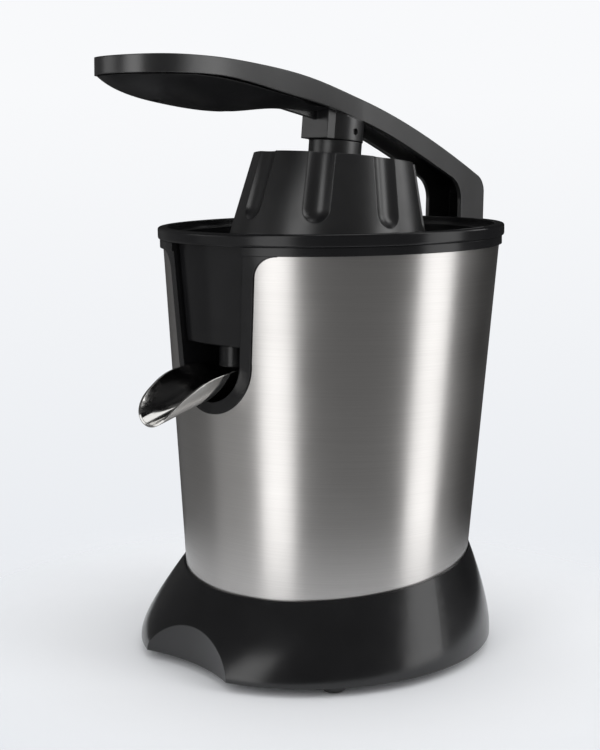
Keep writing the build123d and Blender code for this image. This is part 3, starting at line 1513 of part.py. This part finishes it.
# Rotor stack with its winding slots
with BuildPart() as rotor_core:
    with BuildSketch(Plane.XY.offset(stator_low_z)) as rotor_outline:
        Circle(rotor_radius)
        Circle(rotor_shaft_radius, mode=Mode.SUBTRACT)
        with PolarLocations(rotor_radius, rotor_slot_count):
            Rectangle(2 * rotor_slot_depth, rotor_slot_width, mode=Mode.SUBTRACT)
    extrude(amount=stator_height)
rotor_core.part.label = "rotor_core"
export_step(rotor_core.part, "parts/rotor_core.step")

# Rotor shaft with the first pinion cut on its upper end
with BuildPart() as rotor_shaft:
    post(rotor_shaft_radius, rotor_low_z, first_stage_z)
    gear_blank(pinion_teeth, 90, first_stage_z, first_stage_width)
rotor_shaft.part.label = "rotor_shaft"
export_step(rotor_shaft.part, "parts/rotor_shaft.step")

# Cooling fan above the stator
fan_top_z = plate_low_z - fan_drop
with BuildPart() as cooling_fan:
    post(fan_radius, fan_top_z - fan_disc, fan_top_z)
    post(fan_hub_radius, fan_top_z - fan_height, fan_top_z)
    with BuildSketch(Plane.XY.offset(fan_top_z - fan_height)) as blade_plan:
        with PolarLocations((fan_radius + fan_hub_radius) / 2 - fan_blade_width, fan_blade_count):
            Rectangle(fan_radius - fan_hub_radius, fan_blade_width)
    extrude(amount=fan_height)
    post(rotor_shaft_radius, fan_top_z - fan_height, fan_top_z, mode=Mode.SUBTRACT)
cooling_fan.part.label = "cooling_fan"
export_step(cooling_fan.part, "parts/cooling_fan.step")

# Commutator with its bars
bracket_top_z = rotor_low_z + bearing_height + body_gap
bracket_low_z = bracket_top_z - bracket_thickness
commutator_z = bracket_top_z + bracket_thickness
with BuildPart() as commutator:
    with BuildSketch(Plane.XY.offset(commutator_z)) as commutator_outline:
        Circle(commutator_radius)
        Circle(rotor_shaft_radius, mode=Mode.SUBTRACT)
        with PolarLocations(commutator_radius, commutator_bar_count):
            Rectangle(2 * commutator_bar_gap, commutator_bar_gap, mode=Mode.SUBTRACT)
    extrude(amount=commutator_height)
commutator.part.label = "commutator"
export_step(commutator.part, "parts/commutator.step")

# Lower motor bracket: a windowed plate on four posts under the stator
with BuildPart() as motor_bracket:
    with BuildSketch(Plane.XY.offset(bracket_low_z)) as bracket_outline:
        RectangleRounded(stator_side, stator_side, stator_corner)
        with GridLocations(bracket_window_pitch, bracket_window_pitch, 2, 2):
            Circle(bracket_window_radius, mode=Mode.SUBTRACT)
    extrude(amount=bracket_thickness)
    post(bracket_boss_radius, rotor_low_z, bracket_top_z)
    with GridLocations(2 * motor_corner, 2 * motor_corner, 2, 2):
        post(motor_post_radius, bracket_top_z, stator_low_z)
        post(motor_screw_radius, rotor_low_z, stator_low_z, mode=Mode.SUBTRACT)
    post(bearing_radius, rotor_low_z, rotor_low_z + bearing_height, mode=Mode.SUBTRACT)
    post(rotor_shaft_radius + body_gap, rotor_low_z, bracket_top_z, mode=Mode.SUBTRACT)
motor_bracket.part.label = "motor_bracket"
export_step(motor_bracket.part, "parts/motor_bracket.step")

# Ball bearings of the motor, as plain rings
with BuildPart() as motor_bearings:
    for low in (rotor_low_z, bearing_top_z - bearing_height):
        post(bearing_radius, low, low + bearing_height)
        post(rotor_shaft_radius + running_gap, low, low + bearing_height, mode=Mode.SUBTRACT)
motor_bearings.part.label = "motor_bearings"
export_step(motor_bearings.part, "parts/motor_bearings.step")

# Long screws through the bracket, the stator and the gearbox plate
with BuildPart() as motor_screws:
    with GridLocations(2 * motor_corner, 2 * motor_corner, 2, 2):
        post(motor_screw_radius, bracket_low_z, plate_high_z)
        post(gear_screw_head, bracket_low_z - head_height, bracket_low_z)
motor_screws.part.label = "motor_screws"
export_step(motor_screws.part, "parts/motor_screws.step")

# Brush holders on the bracket, one each side of the commutator
with BuildPart() as brush_holders:
    for side in (1, -1):
        with Locations((side * (commutator_radius + body_gap + brush_length / 2), 0, bracket_top_z)):
            Box(brush_length, brush_width, commutator_height + brush_height / 2, align=BOTTOM)
brush_holders.part.label = "brush_holders"
export_step(brush_holders.part, "parts/brush_holders.step")
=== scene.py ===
"""Looks of an electric citrus press with a lever arm: finishes, wound spring, studio and camera.

Metres, +Z up, juice spout towards -Y, in the frame of the solids.
"""
import json
from math import cos, pi, radians, sin, tan

import bmesh
import bpy
from mathutils import Matrix, Vector


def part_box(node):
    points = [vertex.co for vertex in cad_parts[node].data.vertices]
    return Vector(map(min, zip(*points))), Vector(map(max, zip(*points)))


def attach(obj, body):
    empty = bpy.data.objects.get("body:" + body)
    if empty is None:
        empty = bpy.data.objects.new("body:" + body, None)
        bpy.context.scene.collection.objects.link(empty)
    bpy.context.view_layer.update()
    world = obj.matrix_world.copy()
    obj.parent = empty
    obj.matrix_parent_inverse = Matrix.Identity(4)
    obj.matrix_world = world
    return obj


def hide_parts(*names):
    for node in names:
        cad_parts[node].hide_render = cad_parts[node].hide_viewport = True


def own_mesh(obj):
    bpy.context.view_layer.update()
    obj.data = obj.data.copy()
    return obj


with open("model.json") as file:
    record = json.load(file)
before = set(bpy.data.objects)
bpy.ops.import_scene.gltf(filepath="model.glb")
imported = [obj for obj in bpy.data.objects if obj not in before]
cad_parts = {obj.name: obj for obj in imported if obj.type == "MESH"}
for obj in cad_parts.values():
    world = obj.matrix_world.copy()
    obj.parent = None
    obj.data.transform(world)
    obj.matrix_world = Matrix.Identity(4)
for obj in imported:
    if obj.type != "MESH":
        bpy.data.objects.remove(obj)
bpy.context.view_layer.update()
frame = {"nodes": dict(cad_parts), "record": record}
nodes = frame["nodes"]

# Camera, as it stands to the object
CAMERA_PLACE = (0.50172, -0.50172, 0.24362)
CAMERA_AZIMUTH = 45.0
CAMERA_PITCH = 8.248
CAMERA_YAW = -1.221
CAMERA_ROLL = 0.680
CAMERA_LENS_MM = 64.736
SENSOR_MM = 36.0

# Softboxes around the object, by name, bearing and spread in degrees, low and high edge, radiance
BOX_DISTANCE = 1.30
SOFTBOXES = (
    ("left_fill", -116.0, 42.0, -0.85, 0.30, 0.20),
    ("left_high", -130.0, 30.0, 0.26, 0.58, 1.10),
    ("left_softbox", -81.5, 25.0, -0.85, 1.30, 2.0),
    ("right_softbox", 30.5, 27.0, -0.85, 2.20, 1.95),
    ("right_high", 64.0, 18.0, 0.42, 1.00, 1.80),
)
# Softbox above and behind
TOP_BOX_PLACE = (-0.38, 0.36, 1.50)
TOP_BOX_SIDE = 0.9
TOP_BOX_RADIANCE = 1.1

# Glowing shell in place of a dark cloth, seen only in reflections: its painted reflection tones
# between two heights, and the bearing at which that painted reflection darkens
CLOTH_RADIUS = 3.0
CLOTH_SEGMENTS = 48
CLOTH_RINGS = 24
CLOTH_HEIGHTS = (-1.0, 0.5)
CLOTH_PAINTED_TONES = (0.16, 0.08)
CLOTH_PAINTED_DARK_BEARING = 115.0
CLOTH_PAINTED_DARK_SPAN = (0.5, 0.85)
CLOTH_PAINTED_DARK = 0.2

# Backdrop: its colours, and the spans of slope over which they blend
BACKDROP_TOP = (0.940, 0.948, 0.965)
BACKDROP_LOW = (0.785, 0.811, 0.852)
BACKDROP_RISE = (-0.38, 0.06)
BACKDROP_FOOT = (0.865, 0.875, 0.890)
BACKDROP_FALL = (-0.45, -0.70)
AMBIENT = 0.80

# Floor, which fades out between two radii
FLOOR_RADIUS = 0.5
FLOOR_SEGMENTS = 96
FLOOR_FADE = (0.118, 0.27)
FLOOR_CLEAR = 0.0006
FLOOR_COLOUR = (0.87, 0.885, 0.91)
FLOOR_ROUGHNESS = 0.9
FLOOR_SPECULAR = 0.1

# Edge radii of the finishes, and the angle from which an edge is drawn sharp
EDGE_SOFT = 0.0009
EDGE_ROUND = 0.0006
EDGE_FINE = 0.0004
EDGE_CRISP = 0.0003
EDGE_SAMPLES = 6
SHARP_ANGLE = 32.0

# Texture cells per metre
SATIN_GRAIN = 2600.0
GLOSS_RIPPLE = 420.0
BRUSH_ALONG = 14.0
BRUSH_ACROSS = 2600.0
NOISE_SPAN = (0.3, 0.7)

# Lean of the steel sleeve, and how far the roughness of plain finishes strays
SLEEVE_SLOPE = 0.0705
TURNED_SMOOTHER = 0.06
TURNED_ROUGHER = 0.08
MOULDED_SPREAD = 0.06

# Return spring
SPRING_TURNS = 6
SPRING_WIRE = 0.0014
SPRING_STEPS = 28
SPRING_SIDES = 10

# Colour sockets of a mix node
MIX_FACTOR = 0
MIX_FIRST = 6
MIX_SECOND = 7
MIX_RESULT = 2


def socket(shader, name, value):
    """Set a constant on a shader's own socket."""
    shader.inputs[name].default_value = value


def map_range(tree, value, span, low=0.0, high=1.0, smooth=False):
    """Map a value from a span to a range."""
    node = tree.nodes.new("ShaderNodeMapRange")
    if smooth:
        node.interpolation_type = "SMOOTHSTEP"
    socket(node, "From Min", span[0])
    socket(node, "From Max", span[1])
    socket(node, "To Min", low)
    socket(node, "To Max", high)
    tree.links.new(value, node.inputs["Value"])
    return node.outputs["Result"]


def mix_colours(tree, factor, first, second):
    """Blend two colours, each a constant or an output."""
    node = tree.nodes.new("ShaderNodeMix")
    node.data_type = "RGBA"
    for place, colour in ((MIX_FIRST, first), (MIX_SECOND, second)):
        if isinstance(colour, tuple):
            node.inputs[place].default_value = (*colour, 1.0)
        else:
            tree.links.new(colour, node.inputs[place])
    tree.links.new(factor, node.inputs[MIX_FACTOR])
    return node.outputs[MIX_RESULT]


def vector_maths(tree, operation, first, second=None):
    """Vector maths on outputs or constants."""
    node = tree.nodes.new("ShaderNodeVectorMath")
    node.operation = operation
    for place, value in enumerate((first, second)):
        if isinstance(value, tuple):
            node.inputs[place].default_value = value
        elif value:
            tree.links.new(value, node.inputs[place])
    return node


def maths(tree, operation, *values):
    """Maths on outputs."""
    node = tree.nodes.new("ShaderNodeMath")
    node.operation = operation
    for place, value in enumerate(values):
        tree.links.new(value, node.inputs[place])
    return node.outputs["Value"]


def mix_shaders(tree, factor, first, second):
    """Blend two shaders."""
    node = tree.nodes.new("ShaderNodeMixShader")
    tree.links.new(factor, node.inputs["Fac"])
    tree.links.new(first, node.inputs[1])
    tree.links.new(second, node.inputs[2])
    return node.outputs["Shader"]


class Finish:
    """A node material around one principled shader, in the coordinates of the object."""

    def __init__(self, name, colour, roughness, metallic=0.0):
        self.material = bpy.data.materials.new(name)
        self.material.use_nodes = True
        self.tree = self.material.node_tree
        self.shader = self.tree.nodes["Principled BSDF"]
        self.coords = self.add("ShaderNodeTexCoord").outputs["Object"]
        self.colour = colour
        self.normal = None
        socket(self.shader, "Base Color", (*colour, 1.0))
        socket(self.shader, "Roughness", roughness)
        socket(self.shader, "Metallic", metallic)

    def add(self, kind):
        return self.tree.nodes.new(kind)

    def link(self, source, target):
        self.tree.links.new(source, target)

    def use_normal(self, normal):
        self.normal = normal
        self.link(normal, self.shader.inputs["Normal"])

    def noise(self, cells, detail=3.0, rough=0.55):
        """Noise with so many cells per metre, in all directions or along each axis."""
        mapping = self.add("ShaderNodeMapping")
        socket(mapping, "Scale", cells if isinstance(cells, tuple) else (cells,) * 3)
        self.link(self.coords, mapping.inputs["Vector"])
        noise = self.add("ShaderNodeTexNoise")
        socket(noise, "Scale", 1.0)
        socket(noise, "Detail", detail)
        socket(noise, "Roughness", rough)
        self.link(mapping.outputs["Vector"], noise.inputs["Vector"])
        return noise.outputs["Fac"]

    def vary_roughness(self, value, low, high):
        self.link(map_range(self.tree, value, NOISE_SPAN, low, high), self.shader.inputs["Roughness"])

    def vary_colour(self, value, low, high):
        """Shade the base colour between two factors."""
        dark, light = [tuple(min(1.0, c * k) for c in self.colour) for k in (low, high)]
        shade = mix_colours(self.tree, map_range(self.tree, value, NOISE_SPAN), dark, light)
        self.link(shade, self.shader.inputs["Base Color"])

    def round_edges(self, radius=EDGE_ROUND):
        """Catch the light along edges as a small moulded radius does."""
        bevel = self.add("ShaderNodeBevel")
        bevel.samples = EDGE_SAMPLES
        socket(bevel, "Radius", radius)
        self.use_normal(bevel.outputs["Normal"])

    def cone_normal(self, slope):
        """Take the normal of a cone about the upright axis, on its outer and inner side."""
        flat = vector_maths(self.tree, "MULTIPLY", self.coords, (1.0, 1.0, 0.0)).outputs["Vector"]
        out = vector_maths(self.tree, "NORMALIZE", flat).outputs["Vector"]
        lean = vector_maths(self.tree, "ADD", out, (0.0, 0.0, -slope)).outputs["Vector"]
        unit = vector_maths(self.tree, "NORMALIZE", lean).outputs["Vector"]
        surface = self.add("ShaderNodeNewGeometry").outputs["Normal"]
        facing = vector_maths(self.tree, "DOT_PRODUCT", unit, surface).outputs["Value"]
        turned = vector_maths(self.tree, "SCALE", unit)
        self.link(maths(self.tree, "SIGN", facing), turned.inputs["Scale"])
        self.use_normal(turned.outputs["Vector"])

    def bump(self, value, depth):
        """Raise the surface by a texture, to a depth in metres."""
        bump = self.add("ShaderNodeBump")
        socket(bump, "Strength", 1.0)
        socket(bump, "Distance", depth)
        self.link(value, bump.inputs["Height"])
        if self.normal:
            self.link(self.normal, bump.inputs["Normal"])
        self.use_normal(bump.outputs["Normal"])


def gloss_black(name, level):
    """Glossy black moulding with a faint ripple and rubbed patches."""
    finish = Finish(name, (0.0060, 0.0060, 0.0066), roughness=0.20)
    finish.round_edges()
    finish.vary_roughness(finish.noise(26.0), low=0.17, high=0.27)
    finish.vary_colour(finish.noise(60.0), low=0.85, high=1.15)
    finish.bump(finish.noise(GLOSS_RIPPLE, detail=1.0), depth=0.0000022)
    socket(finish.shader, "Specular IOR Level", level)
    return finish.material


def satin_black():
    """Satin black moulding with a fine eroded grain."""
    finish = Finish("satin_black", (0.0058, 0.0058, 0.0065), roughness=0.33)
    finish.round_edges(EDGE_SOFT)
    finish.vary_roughness(finish.noise(34.0), low=0.29, high=0.36)
    finish.vary_colour(finish.noise(90.0), low=0.88, high=1.12)
    finish.bump(finish.noise(SATIN_GRAIN, detail=2.0), depth=0.000012)
    socket(finish.shader, "IOR", 1.58)
    socket(finish.shader, "Specular IOR Level", 0.8)
    return finish.material


def shaded_satin_black():
    """Satin black moulding of the grip's underside, made darker and less reflective than the rest as
    painted shade, its roughness varied by a noise stretched along Y.
    """
    # Darker than the satin black, with a weaker reflection set below: painted shade.
    finish = Finish("shaded_satin_black", (0.0050, 0.0050, 0.0056), roughness=0.40)
    finish.round_edges(EDGE_SOFT)
    finish.vary_roughness(finish.noise((30.0, 18.0, 30.0)), low=0.36, high=0.46)
    finish.vary_colour(finish.noise(80.0), low=0.85, high=1.15)
    finish.bump(finish.noise(SATIN_GRAIN, detail=2.0), depth=0.00001)
    socket(finish.shader, "Specular IOR Level", 0.2)
    return finish.material


def brushed_sleeve():
    """Steel brushed round the body: long fine lines, with faint handling marks."""
    finish = Finish("sleeve_steel", (0.535, 0.522, 0.510), roughness=0.30, metallic=1.0)
    finish.cone_normal(SLEEVE_SLOPE)
    lines = finish.noise((BRUSH_ALONG, BRUSH_ALONG, BRUSH_ACROSS), detail=4.0, rough=0.7)
    finish.vary_colour(lines, low=0.93, high=1.05)
    finish.vary_roughness(finish.noise((11.0, 11.0, 19.0)), low=0.27, high=0.33)
    finish.bump(lines, depth=0.0000035)
    tangent = finish.add("ShaderNodeTangent")
    tangent.direction_type = "RADIAL"
    tangent.axis = "Z"
    finish.link(tangent.outputs["Tangent"], finish.shader.inputs["Tangent"])
    socket(finish.shader, "Anisotropic", 0.4)
    socket(finish.shader, "Anisotropic Rotation", 0.25)
    return finish.material


def polished_steel():
    """Polished steel with hairline scratches."""
    finish = Finish("polished_steel", (0.70, 0.69, 0.67), roughness=0.10, metallic=1.0)
    finish.round_edges(EDGE_FINE)
    finish.vary_roughness(finish.noise(90.0), low=0.07, high=0.16)
    finish.bump(finish.noise((1400.0, 60.0, 1400.0), detail=4.0), depth=0.0000015)
    return finish.material


def turned_steel(name, colour, roughness):
    """Turned or plated steel with fine tool marks across the axis."""
    finish = Finish(name, colour, roughness, metallic=1.0)
    finish.round_edges(EDGE_CRISP)
    marks = finish.noise((180.0, 180.0, 5200.0))
    finish.vary_colour(marks, low=0.90, high=1.06)
    finish.vary_roughness(marks, roughness - TURNED_SMOOTHER, roughness + TURNED_ROUGHER)
    finish.bump(marks, depth=0.000003)
    return finish.material


def laminations():
    """Stacked varnished sheet steel: thin bands along the axis."""
    finish = Finish("lamination_steel", (0.16, 0.16, 0.17), roughness=0.45, metallic=0.8)
    sheets = finish.noise((2.0, 2.0, 2000.0), detail=0.0)
    finish.vary_colour(sheets, low=0.55, high=1.25)
    finish.bump(sheets, depth=0.00006)
    return finish.material


def rubber():
    """Matt black rubber with a dusty grain."""
    finish = Finish("rubber_black", (0.022, 0.022, 0.022), roughness=0.75)
    finish.round_edges()
    finish.vary_colour(finish.noise(240.0), low=0.75, high=1.35)
    finish.vary_roughness(finish.noise(120.0), low=0.66, high=0.84)
    finish.bump(finish.noise(1800.0), depth=0.00003)
    return finish.material


def moulded(name, colour, roughness, grain):
    """Plain moulded plastic with a light grain."""
    finish = Finish(name, colour, roughness)
    finish.round_edges(EDGE_FINE)
    finish.vary_colour(finish.noise(50.0), low=0.90, high=1.08)
    finish.vary_roughness(finish.noise(70.0), roughness - MOULDED_SPREAD, roughness + MOULDED_SPREAD)
    finish.bump(finish.noise(1500.0, detail=2.0), grain)
    return finish.material


def sintered_bronze():
    """Porous bronze of a plain bush."""
    finish = Finish("bronze", (0.45, 0.28, 0.12), roughness=0.42, metallic=1.0)
    pores = finish.noise(2600.0, detail=2.0)
    finish.vary_colour(pores, low=0.65, high=1.1)
    finish.vary_roughness(pores, low=0.32, high=0.55)
    finish.bump(pores, depth=0.00002)
    return finish.material


def winding_copper():
    """Enamelled copper wire, laid in close turns."""
    finish = Finish("copper", (0.60, 0.26, 0.13), roughness=0.28, metallic=1.0)
    turns = finish.noise((900.0, 900.0, 30.0), detail=1.0)
    finish.vary_colour(turns, low=0.55, high=1.1)
    finish.vary_roughness(turns, low=0.22, high=0.40)
    finish.bump(turns, depth=0.00018)
    return finish.material


def cast_aluminium():
    """Die-cast aluminium with its flow grain."""
    finish = Finish("cast_aluminium", (0.60, 0.60, 0.61), roughness=0.42, metallic=1.0)
    finish.round_edges()
    grain = finish.noise(700.0, detail=4.0)
    finish.vary_colour(grain, low=0.88, high=1.05)
    finish.vary_roughness(grain, low=0.36, high=0.52)
    finish.bump(grain, depth=0.00003)
    return finish.material


FINISHES = {
    "gloss_black": gloss_black("gloss_black", level=0.6),
    "trim_black": gloss_black("trim_black", level=0.36),
    "satin_black": satin_black(),
    "shaded_satin_black": shaded_satin_black(),
    "sleeve_steel": brushed_sleeve(),
    "polished_steel": polished_steel(),
    "fastener_steel": turned_steel("fastener_steel", (0.48, 0.48, 0.48), roughness=0.34),
    "shaft_steel": turned_steel("shaft_steel", (0.52, 0.52, 0.53), roughness=0.24),
    "lamination_steel": laminations(),
    "rubber_black": rubber(),
    "grey_plastic": moulded("grey_plastic", (0.055, 0.055, 0.058), roughness=0.48, grain=0.00002),
    "gear_plastic": moulded("gear_plastic", (0.78, 0.76, 0.70), roughness=0.40, grain=0.00001),
    "switch_red": moulded("switch_red", (0.30, 0.03, 0.03), roughness=0.30, grain=0.000006),
    "bronze": sintered_bronze(),
    "copper": winding_copper(),
    "cast_aluminium": cast_aluminium(),
}


def dress_nodes():
    """Give each solid the finish of its slot, with smooth shading up to its edges."""
    slots = {part["node"]: part["material_slot"] for part in frame["record"]["subparts"]}
    # The grip's underside takes a darker, less reflective copy of the satin black: painted shade.
    slots.update(arm_cover="shaded_satin_black", trim_frame="trim_black", juice_tray="trim_black")
    for name, obj in nodes.items():
        obj.data.materials.clear()
        obj.data.materials.append(FINISHES[slots[name]])
        obj.data.shade_smooth()
        obj.data.set_sharp_from_angle(angle=radians(SHARP_ANGLE))


def add_object(name, data):
    """Link a new object with this data to the scene."""
    obj = bpy.data.objects.new(name, data)
    bpy.context.collection.objects.link(obj)
    return obj


def spring_rise(turns, full):
    """Height of the wire after some turns, with one closed turn at each end."""
    pitch = (full - 2 * SPRING_WIRE) / (SPRING_TURNS - 2)
    if turns < 1:
        return turns * SPRING_WIRE
    if turns > SPRING_TURNS - 1:
        return full - (SPRING_TURNS - turns) * SPRING_WIRE
    return SPRING_WIRE + (turns - 1) * pitch


def wind_spring():
    """Wound wire in the space of the return spring, with flat closed ends."""
    low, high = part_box("return_spring")
    radius = (high[0] - low[0]) / 2 - SPRING_WIRE / 2
    rings = SPRING_TURNS * SPRING_STEPS
    points = []
    for step in range(rings + 1):
        turns = step / SPRING_STEPS
        angle = 2 * pi * turns
        height = low[2] + SPRING_WIRE / 2 + spring_rise(turns, high[2] - low[2] - SPRING_WIRE)
        out = Vector((cos(angle), sin(angle), 0))
        middle = out * radius + Vector((0, 0, height))
        for side in range(SPRING_SIDES):
            turn = 2 * pi * side / SPRING_SIDES
            points.append(middle + (out * cos(turn) + Vector((0, 0, sin(turn)))) * SPRING_WIRE / 2)
    faces = []
    for step in range(rings):
        here = step * SPRING_SIDES
        there = here + SPRING_SIDES
        for side in range(SPRING_SIDES):
            after = (side + 1) % SPRING_SIDES
            faces.append((here + side, here + after, there + after, there + side))
    faces.append(tuple(range(SPRING_SIDES))[::-1])
    faces.append(tuple(range(rings * SPRING_SIDES, (rings + 1) * SPRING_SIDES)))
    mesh = bpy.data.meshes.new("return_spring_coil")
    mesh.from_pydata(points, [], faces)
    mesh.materials.append(FINISHES["shaft_steel"])
    mesh.shade_smooth()
    spring = add_object("return_spring_coil", mesh)
    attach(spring, "body")
    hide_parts("return_spring")
    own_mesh(spring)


def add_camera():
    """Camera at the photographed angle."""
    azimuth, pitch = radians(CAMERA_AZIMUTH), radians(CAMERA_PITCH)
    yaw, roll = radians(CAMERA_YAW), radians(CAMERA_ROLL)
    level = Vector((-sin(azimuth), cos(azimuth), 0))
    side = Vector((cos(azimuth), sin(azimuth), 0))
    upright = Vector((0, 0, 1))
    ahead = level * cos(yaw) + side * sin(yaw)
    side = side * cos(yaw) - level * sin(yaw)
    forward = ahead * cos(pitch) - upright * sin(pitch)
    up = upright * cos(pitch) + ahead * sin(pitch)
    right = side * cos(roll) + up * sin(roll)
    up = up * cos(roll) - side * sin(roll)
    data = bpy.data.cameras.new("camera")
    data.lens = CAMERA_LENS_MM
    data.sensor_fit = "VERTICAL"
    data.sensor_height = SENSOR_MM
    camera = add_object("camera", data)
    turn = Matrix((right, up, -forward)).transposed().to_4x4()
    camera.matrix_world = Matrix.Translation(CAMERA_PLACE) @ turn
    bpy.context.scene.camera = camera


def add_softbox(name, place, aim, width, height, radiance):
    """Area light that faces a point, set by the radiance of its face."""
    data = bpy.data.lights.new(name, "AREA")
    data.shape = "RECTANGLE"
    data.size = width
    data.size_y = height
    data.energy = radiance * pi * width * height
    light = add_object(name, data)
    away = (Vector(place) - Vector(aim)).normalized()
    light.location = place
    light.rotation_euler = away.to_track_quat("Z", "Y").to_euler()
    light.visible_camera = False


def add_lights():
    """Upright softboxes on both sides of the camera, and one above and behind the object."""
    for name, bearing, spread, low, high, radiance in SOFTBOXES:
        turn = radians(bearing)
        middle = (low + high) / 2
        place = (BOX_DISTANCE * cos(turn), BOX_DISTANCE * sin(turn), middle)
        width = 2 * BOX_DISTANCE * tan(radians(spread / 2))
        add_softbox(name, place, (0, 0, middle), width, high - low, radiance)
    add_softbox("top_softbox", TOP_BOX_PLACE, (0, 0, 0), TOP_BOX_SIDE, TOP_BOX_SIDE, TOP_BOX_RADIANCE)


def painted_reflection_cloth_material():
    """Glow of a shell in place of a dark cloth, a painted reflection: a little paler towards the
    floor and darkest at one bearing.
    """
    material = bpy.data.materials.new("painted_reflection_cloth")
    material.use_nodes = True
    tree = material.node_tree
    tree.nodes.clear()
    coords = tree.nodes.new("ShaderNodeTexCoord").outputs["Object"]
    split = tree.nodes.new("ShaderNodeSeparateXYZ")
    tree.links.new(coords, split.inputs["Vector"])
    shade = map_range(tree, split.outputs["Z"], CLOTH_HEIGHTS, *CLOTH_PAINTED_TONES)
    turn = radians(CLOTH_PAINTED_DARK_BEARING)
    dark_way = (cos(turn) / CLOTH_RADIUS, sin(turn) / CLOTH_RADIUS, 0.0)
    toward = vector_maths(tree, "DOT_PRODUCT", coords, dark_way).outputs["Value"]
    dim = map_range(tree, toward, CLOTH_PAINTED_DARK_SPAN, 1.0, CLOTH_PAINTED_DARK, smooth=True)
    # The cloth's tones are emitted: a painted reflection rather than light falling on it.
    glow = tree.nodes.new("ShaderNodeEmission")
    tree.links.new(maths(tree, "MULTIPLY", shade, dim), glow.inputs["Color"])
    output = tree.nodes.new("ShaderNodeOutputMaterial")
    tree.links.new(glow.outputs["Emission"], output.inputs["Surface"])
    return material


def add_painted_reflection_cloth():
    """Glowing shell all around the studio in place of a dark cloth, seen only in reflections: a
    painted reflection.
    """
    mesh = bpy.data.meshes.new("painted_reflection_cloth")
    shell = bmesh.new()
    bmesh.ops.create_uvsphere(
        shell, u_segments=CLOTH_SEGMENTS, v_segments=CLOTH_RINGS, radius=CLOTH_RADIUS
    )
    shell.to_mesh(mesh)
    shell.free()
    mesh.materials.append(painted_reflection_cloth_material())
    cloth = add_object("painted_reflection_cloth", mesh)
    cloth.visible_camera = False
    cloth.visible_diffuse = False
    cloth.visible_shadow = False
    cloth.visible_transmission = False


def floor_material():
    """Pale matt floor that fades into the backdrop away from the object."""
    material = bpy.data.materials.new("floor")
    material.use_nodes = True
    tree = material.node_tree
    shader = tree.nodes["Principled BSDF"]
    socket(shader, "Base Color", (*FLOOR_COLOUR, 1.0))
    socket(shader, "Roughness", FLOOR_ROUGHNESS)
    socket(shader, "Specular IOR Level", FLOOR_SPECULAR)
    coords = tree.nodes.new("ShaderNodeTexCoord").outputs["Object"]
    reach = vector_maths(tree, "LENGTH", coords).outputs["Value"]
    fade = map_range(tree, reach, FLOOR_FADE, smooth=True)
    clear = tree.nodes.new("ShaderNodeBsdfTransparent").outputs["BSDF"]
    surface = mix_shaders(tree, fade, shader.outputs["BSDF"], clear)
    tree.links.new(surface, tree.nodes["Material Output"].inputs["Surface"])
    return material


def add_floor():
    """Round floor just under the feet."""
    mesh = bpy.data.meshes.new("floor")
    disc = bmesh.new()
    bmesh.ops.create_circle(disc, cap_ends=True, segments=FLOOR_SEGMENTS, radius=FLOOR_RADIUS)
    disc.to_mesh(mesh)
    disc.free()
    mesh.materials.append(floor_material())
    floor = add_object("floor", mesh)
    floor.location = (0, 0, -FLOOR_CLEAR)


def add_world():
    """Pale backdrop for the camera and for reflections, and an even grey light for the rest."""
    world = bpy.data.worlds.new("studio")
    world.use_nodes = True
    bpy.context.scene.world = world
    tree = world.node_tree
    tree.nodes.clear()
    split = tree.nodes.new("ShaderNodeSeparateXYZ")
    tree.links.new(tree.nodes.new("ShaderNodeTexCoord").outputs["Generated"], split.inputs["Vector"])
    rise = map_range(tree, split.outputs["Z"], BACKDROP_RISE)
    fall = map_range(tree, split.outputs["Z"], BACKDROP_FALL)
    tint = mix_colours(tree, rise, BACKDROP_LOW, BACKDROP_TOP)
    backdrop = tree.nodes.new("ShaderNodeBackground")
    tree.links.new(mix_colours(tree, fall, tint, BACKDROP_FOOT), backdrop.inputs["Color"])
    ambient = tree.nodes.new("ShaderNodeBackground")
    socket(ambient, "Color", (1.0, 1.0, 1.0, 1.0))
    socket(ambient, "Strength", AMBIENT)
    path = tree.nodes.new("ShaderNodeLightPath")
    seen = path.outputs["Is Camera Ray"]
    for ray in ("Is Glossy Ray", "Is Transmission Ray"):
        seen = maths(tree, "MAXIMUM", seen, path.outputs[ray])
    light = mix_shaders(tree, seen, ambient.outputs["Background"], backdrop.outputs["Background"])
    output = tree.nodes.new("ShaderNodeOutputWorld")
    tree.links.new(light, output.inputs["Surface"])


dress_nodes()
wind_spring()
add_camera()
add_lights()
# Glowing shell seen only in reflections: painted reflection in place of a dark cloth.
add_painted_reflection_cloth()
add_floor()
add_world()
bpy.context.scene.view_settings.view_transform = "Standard"
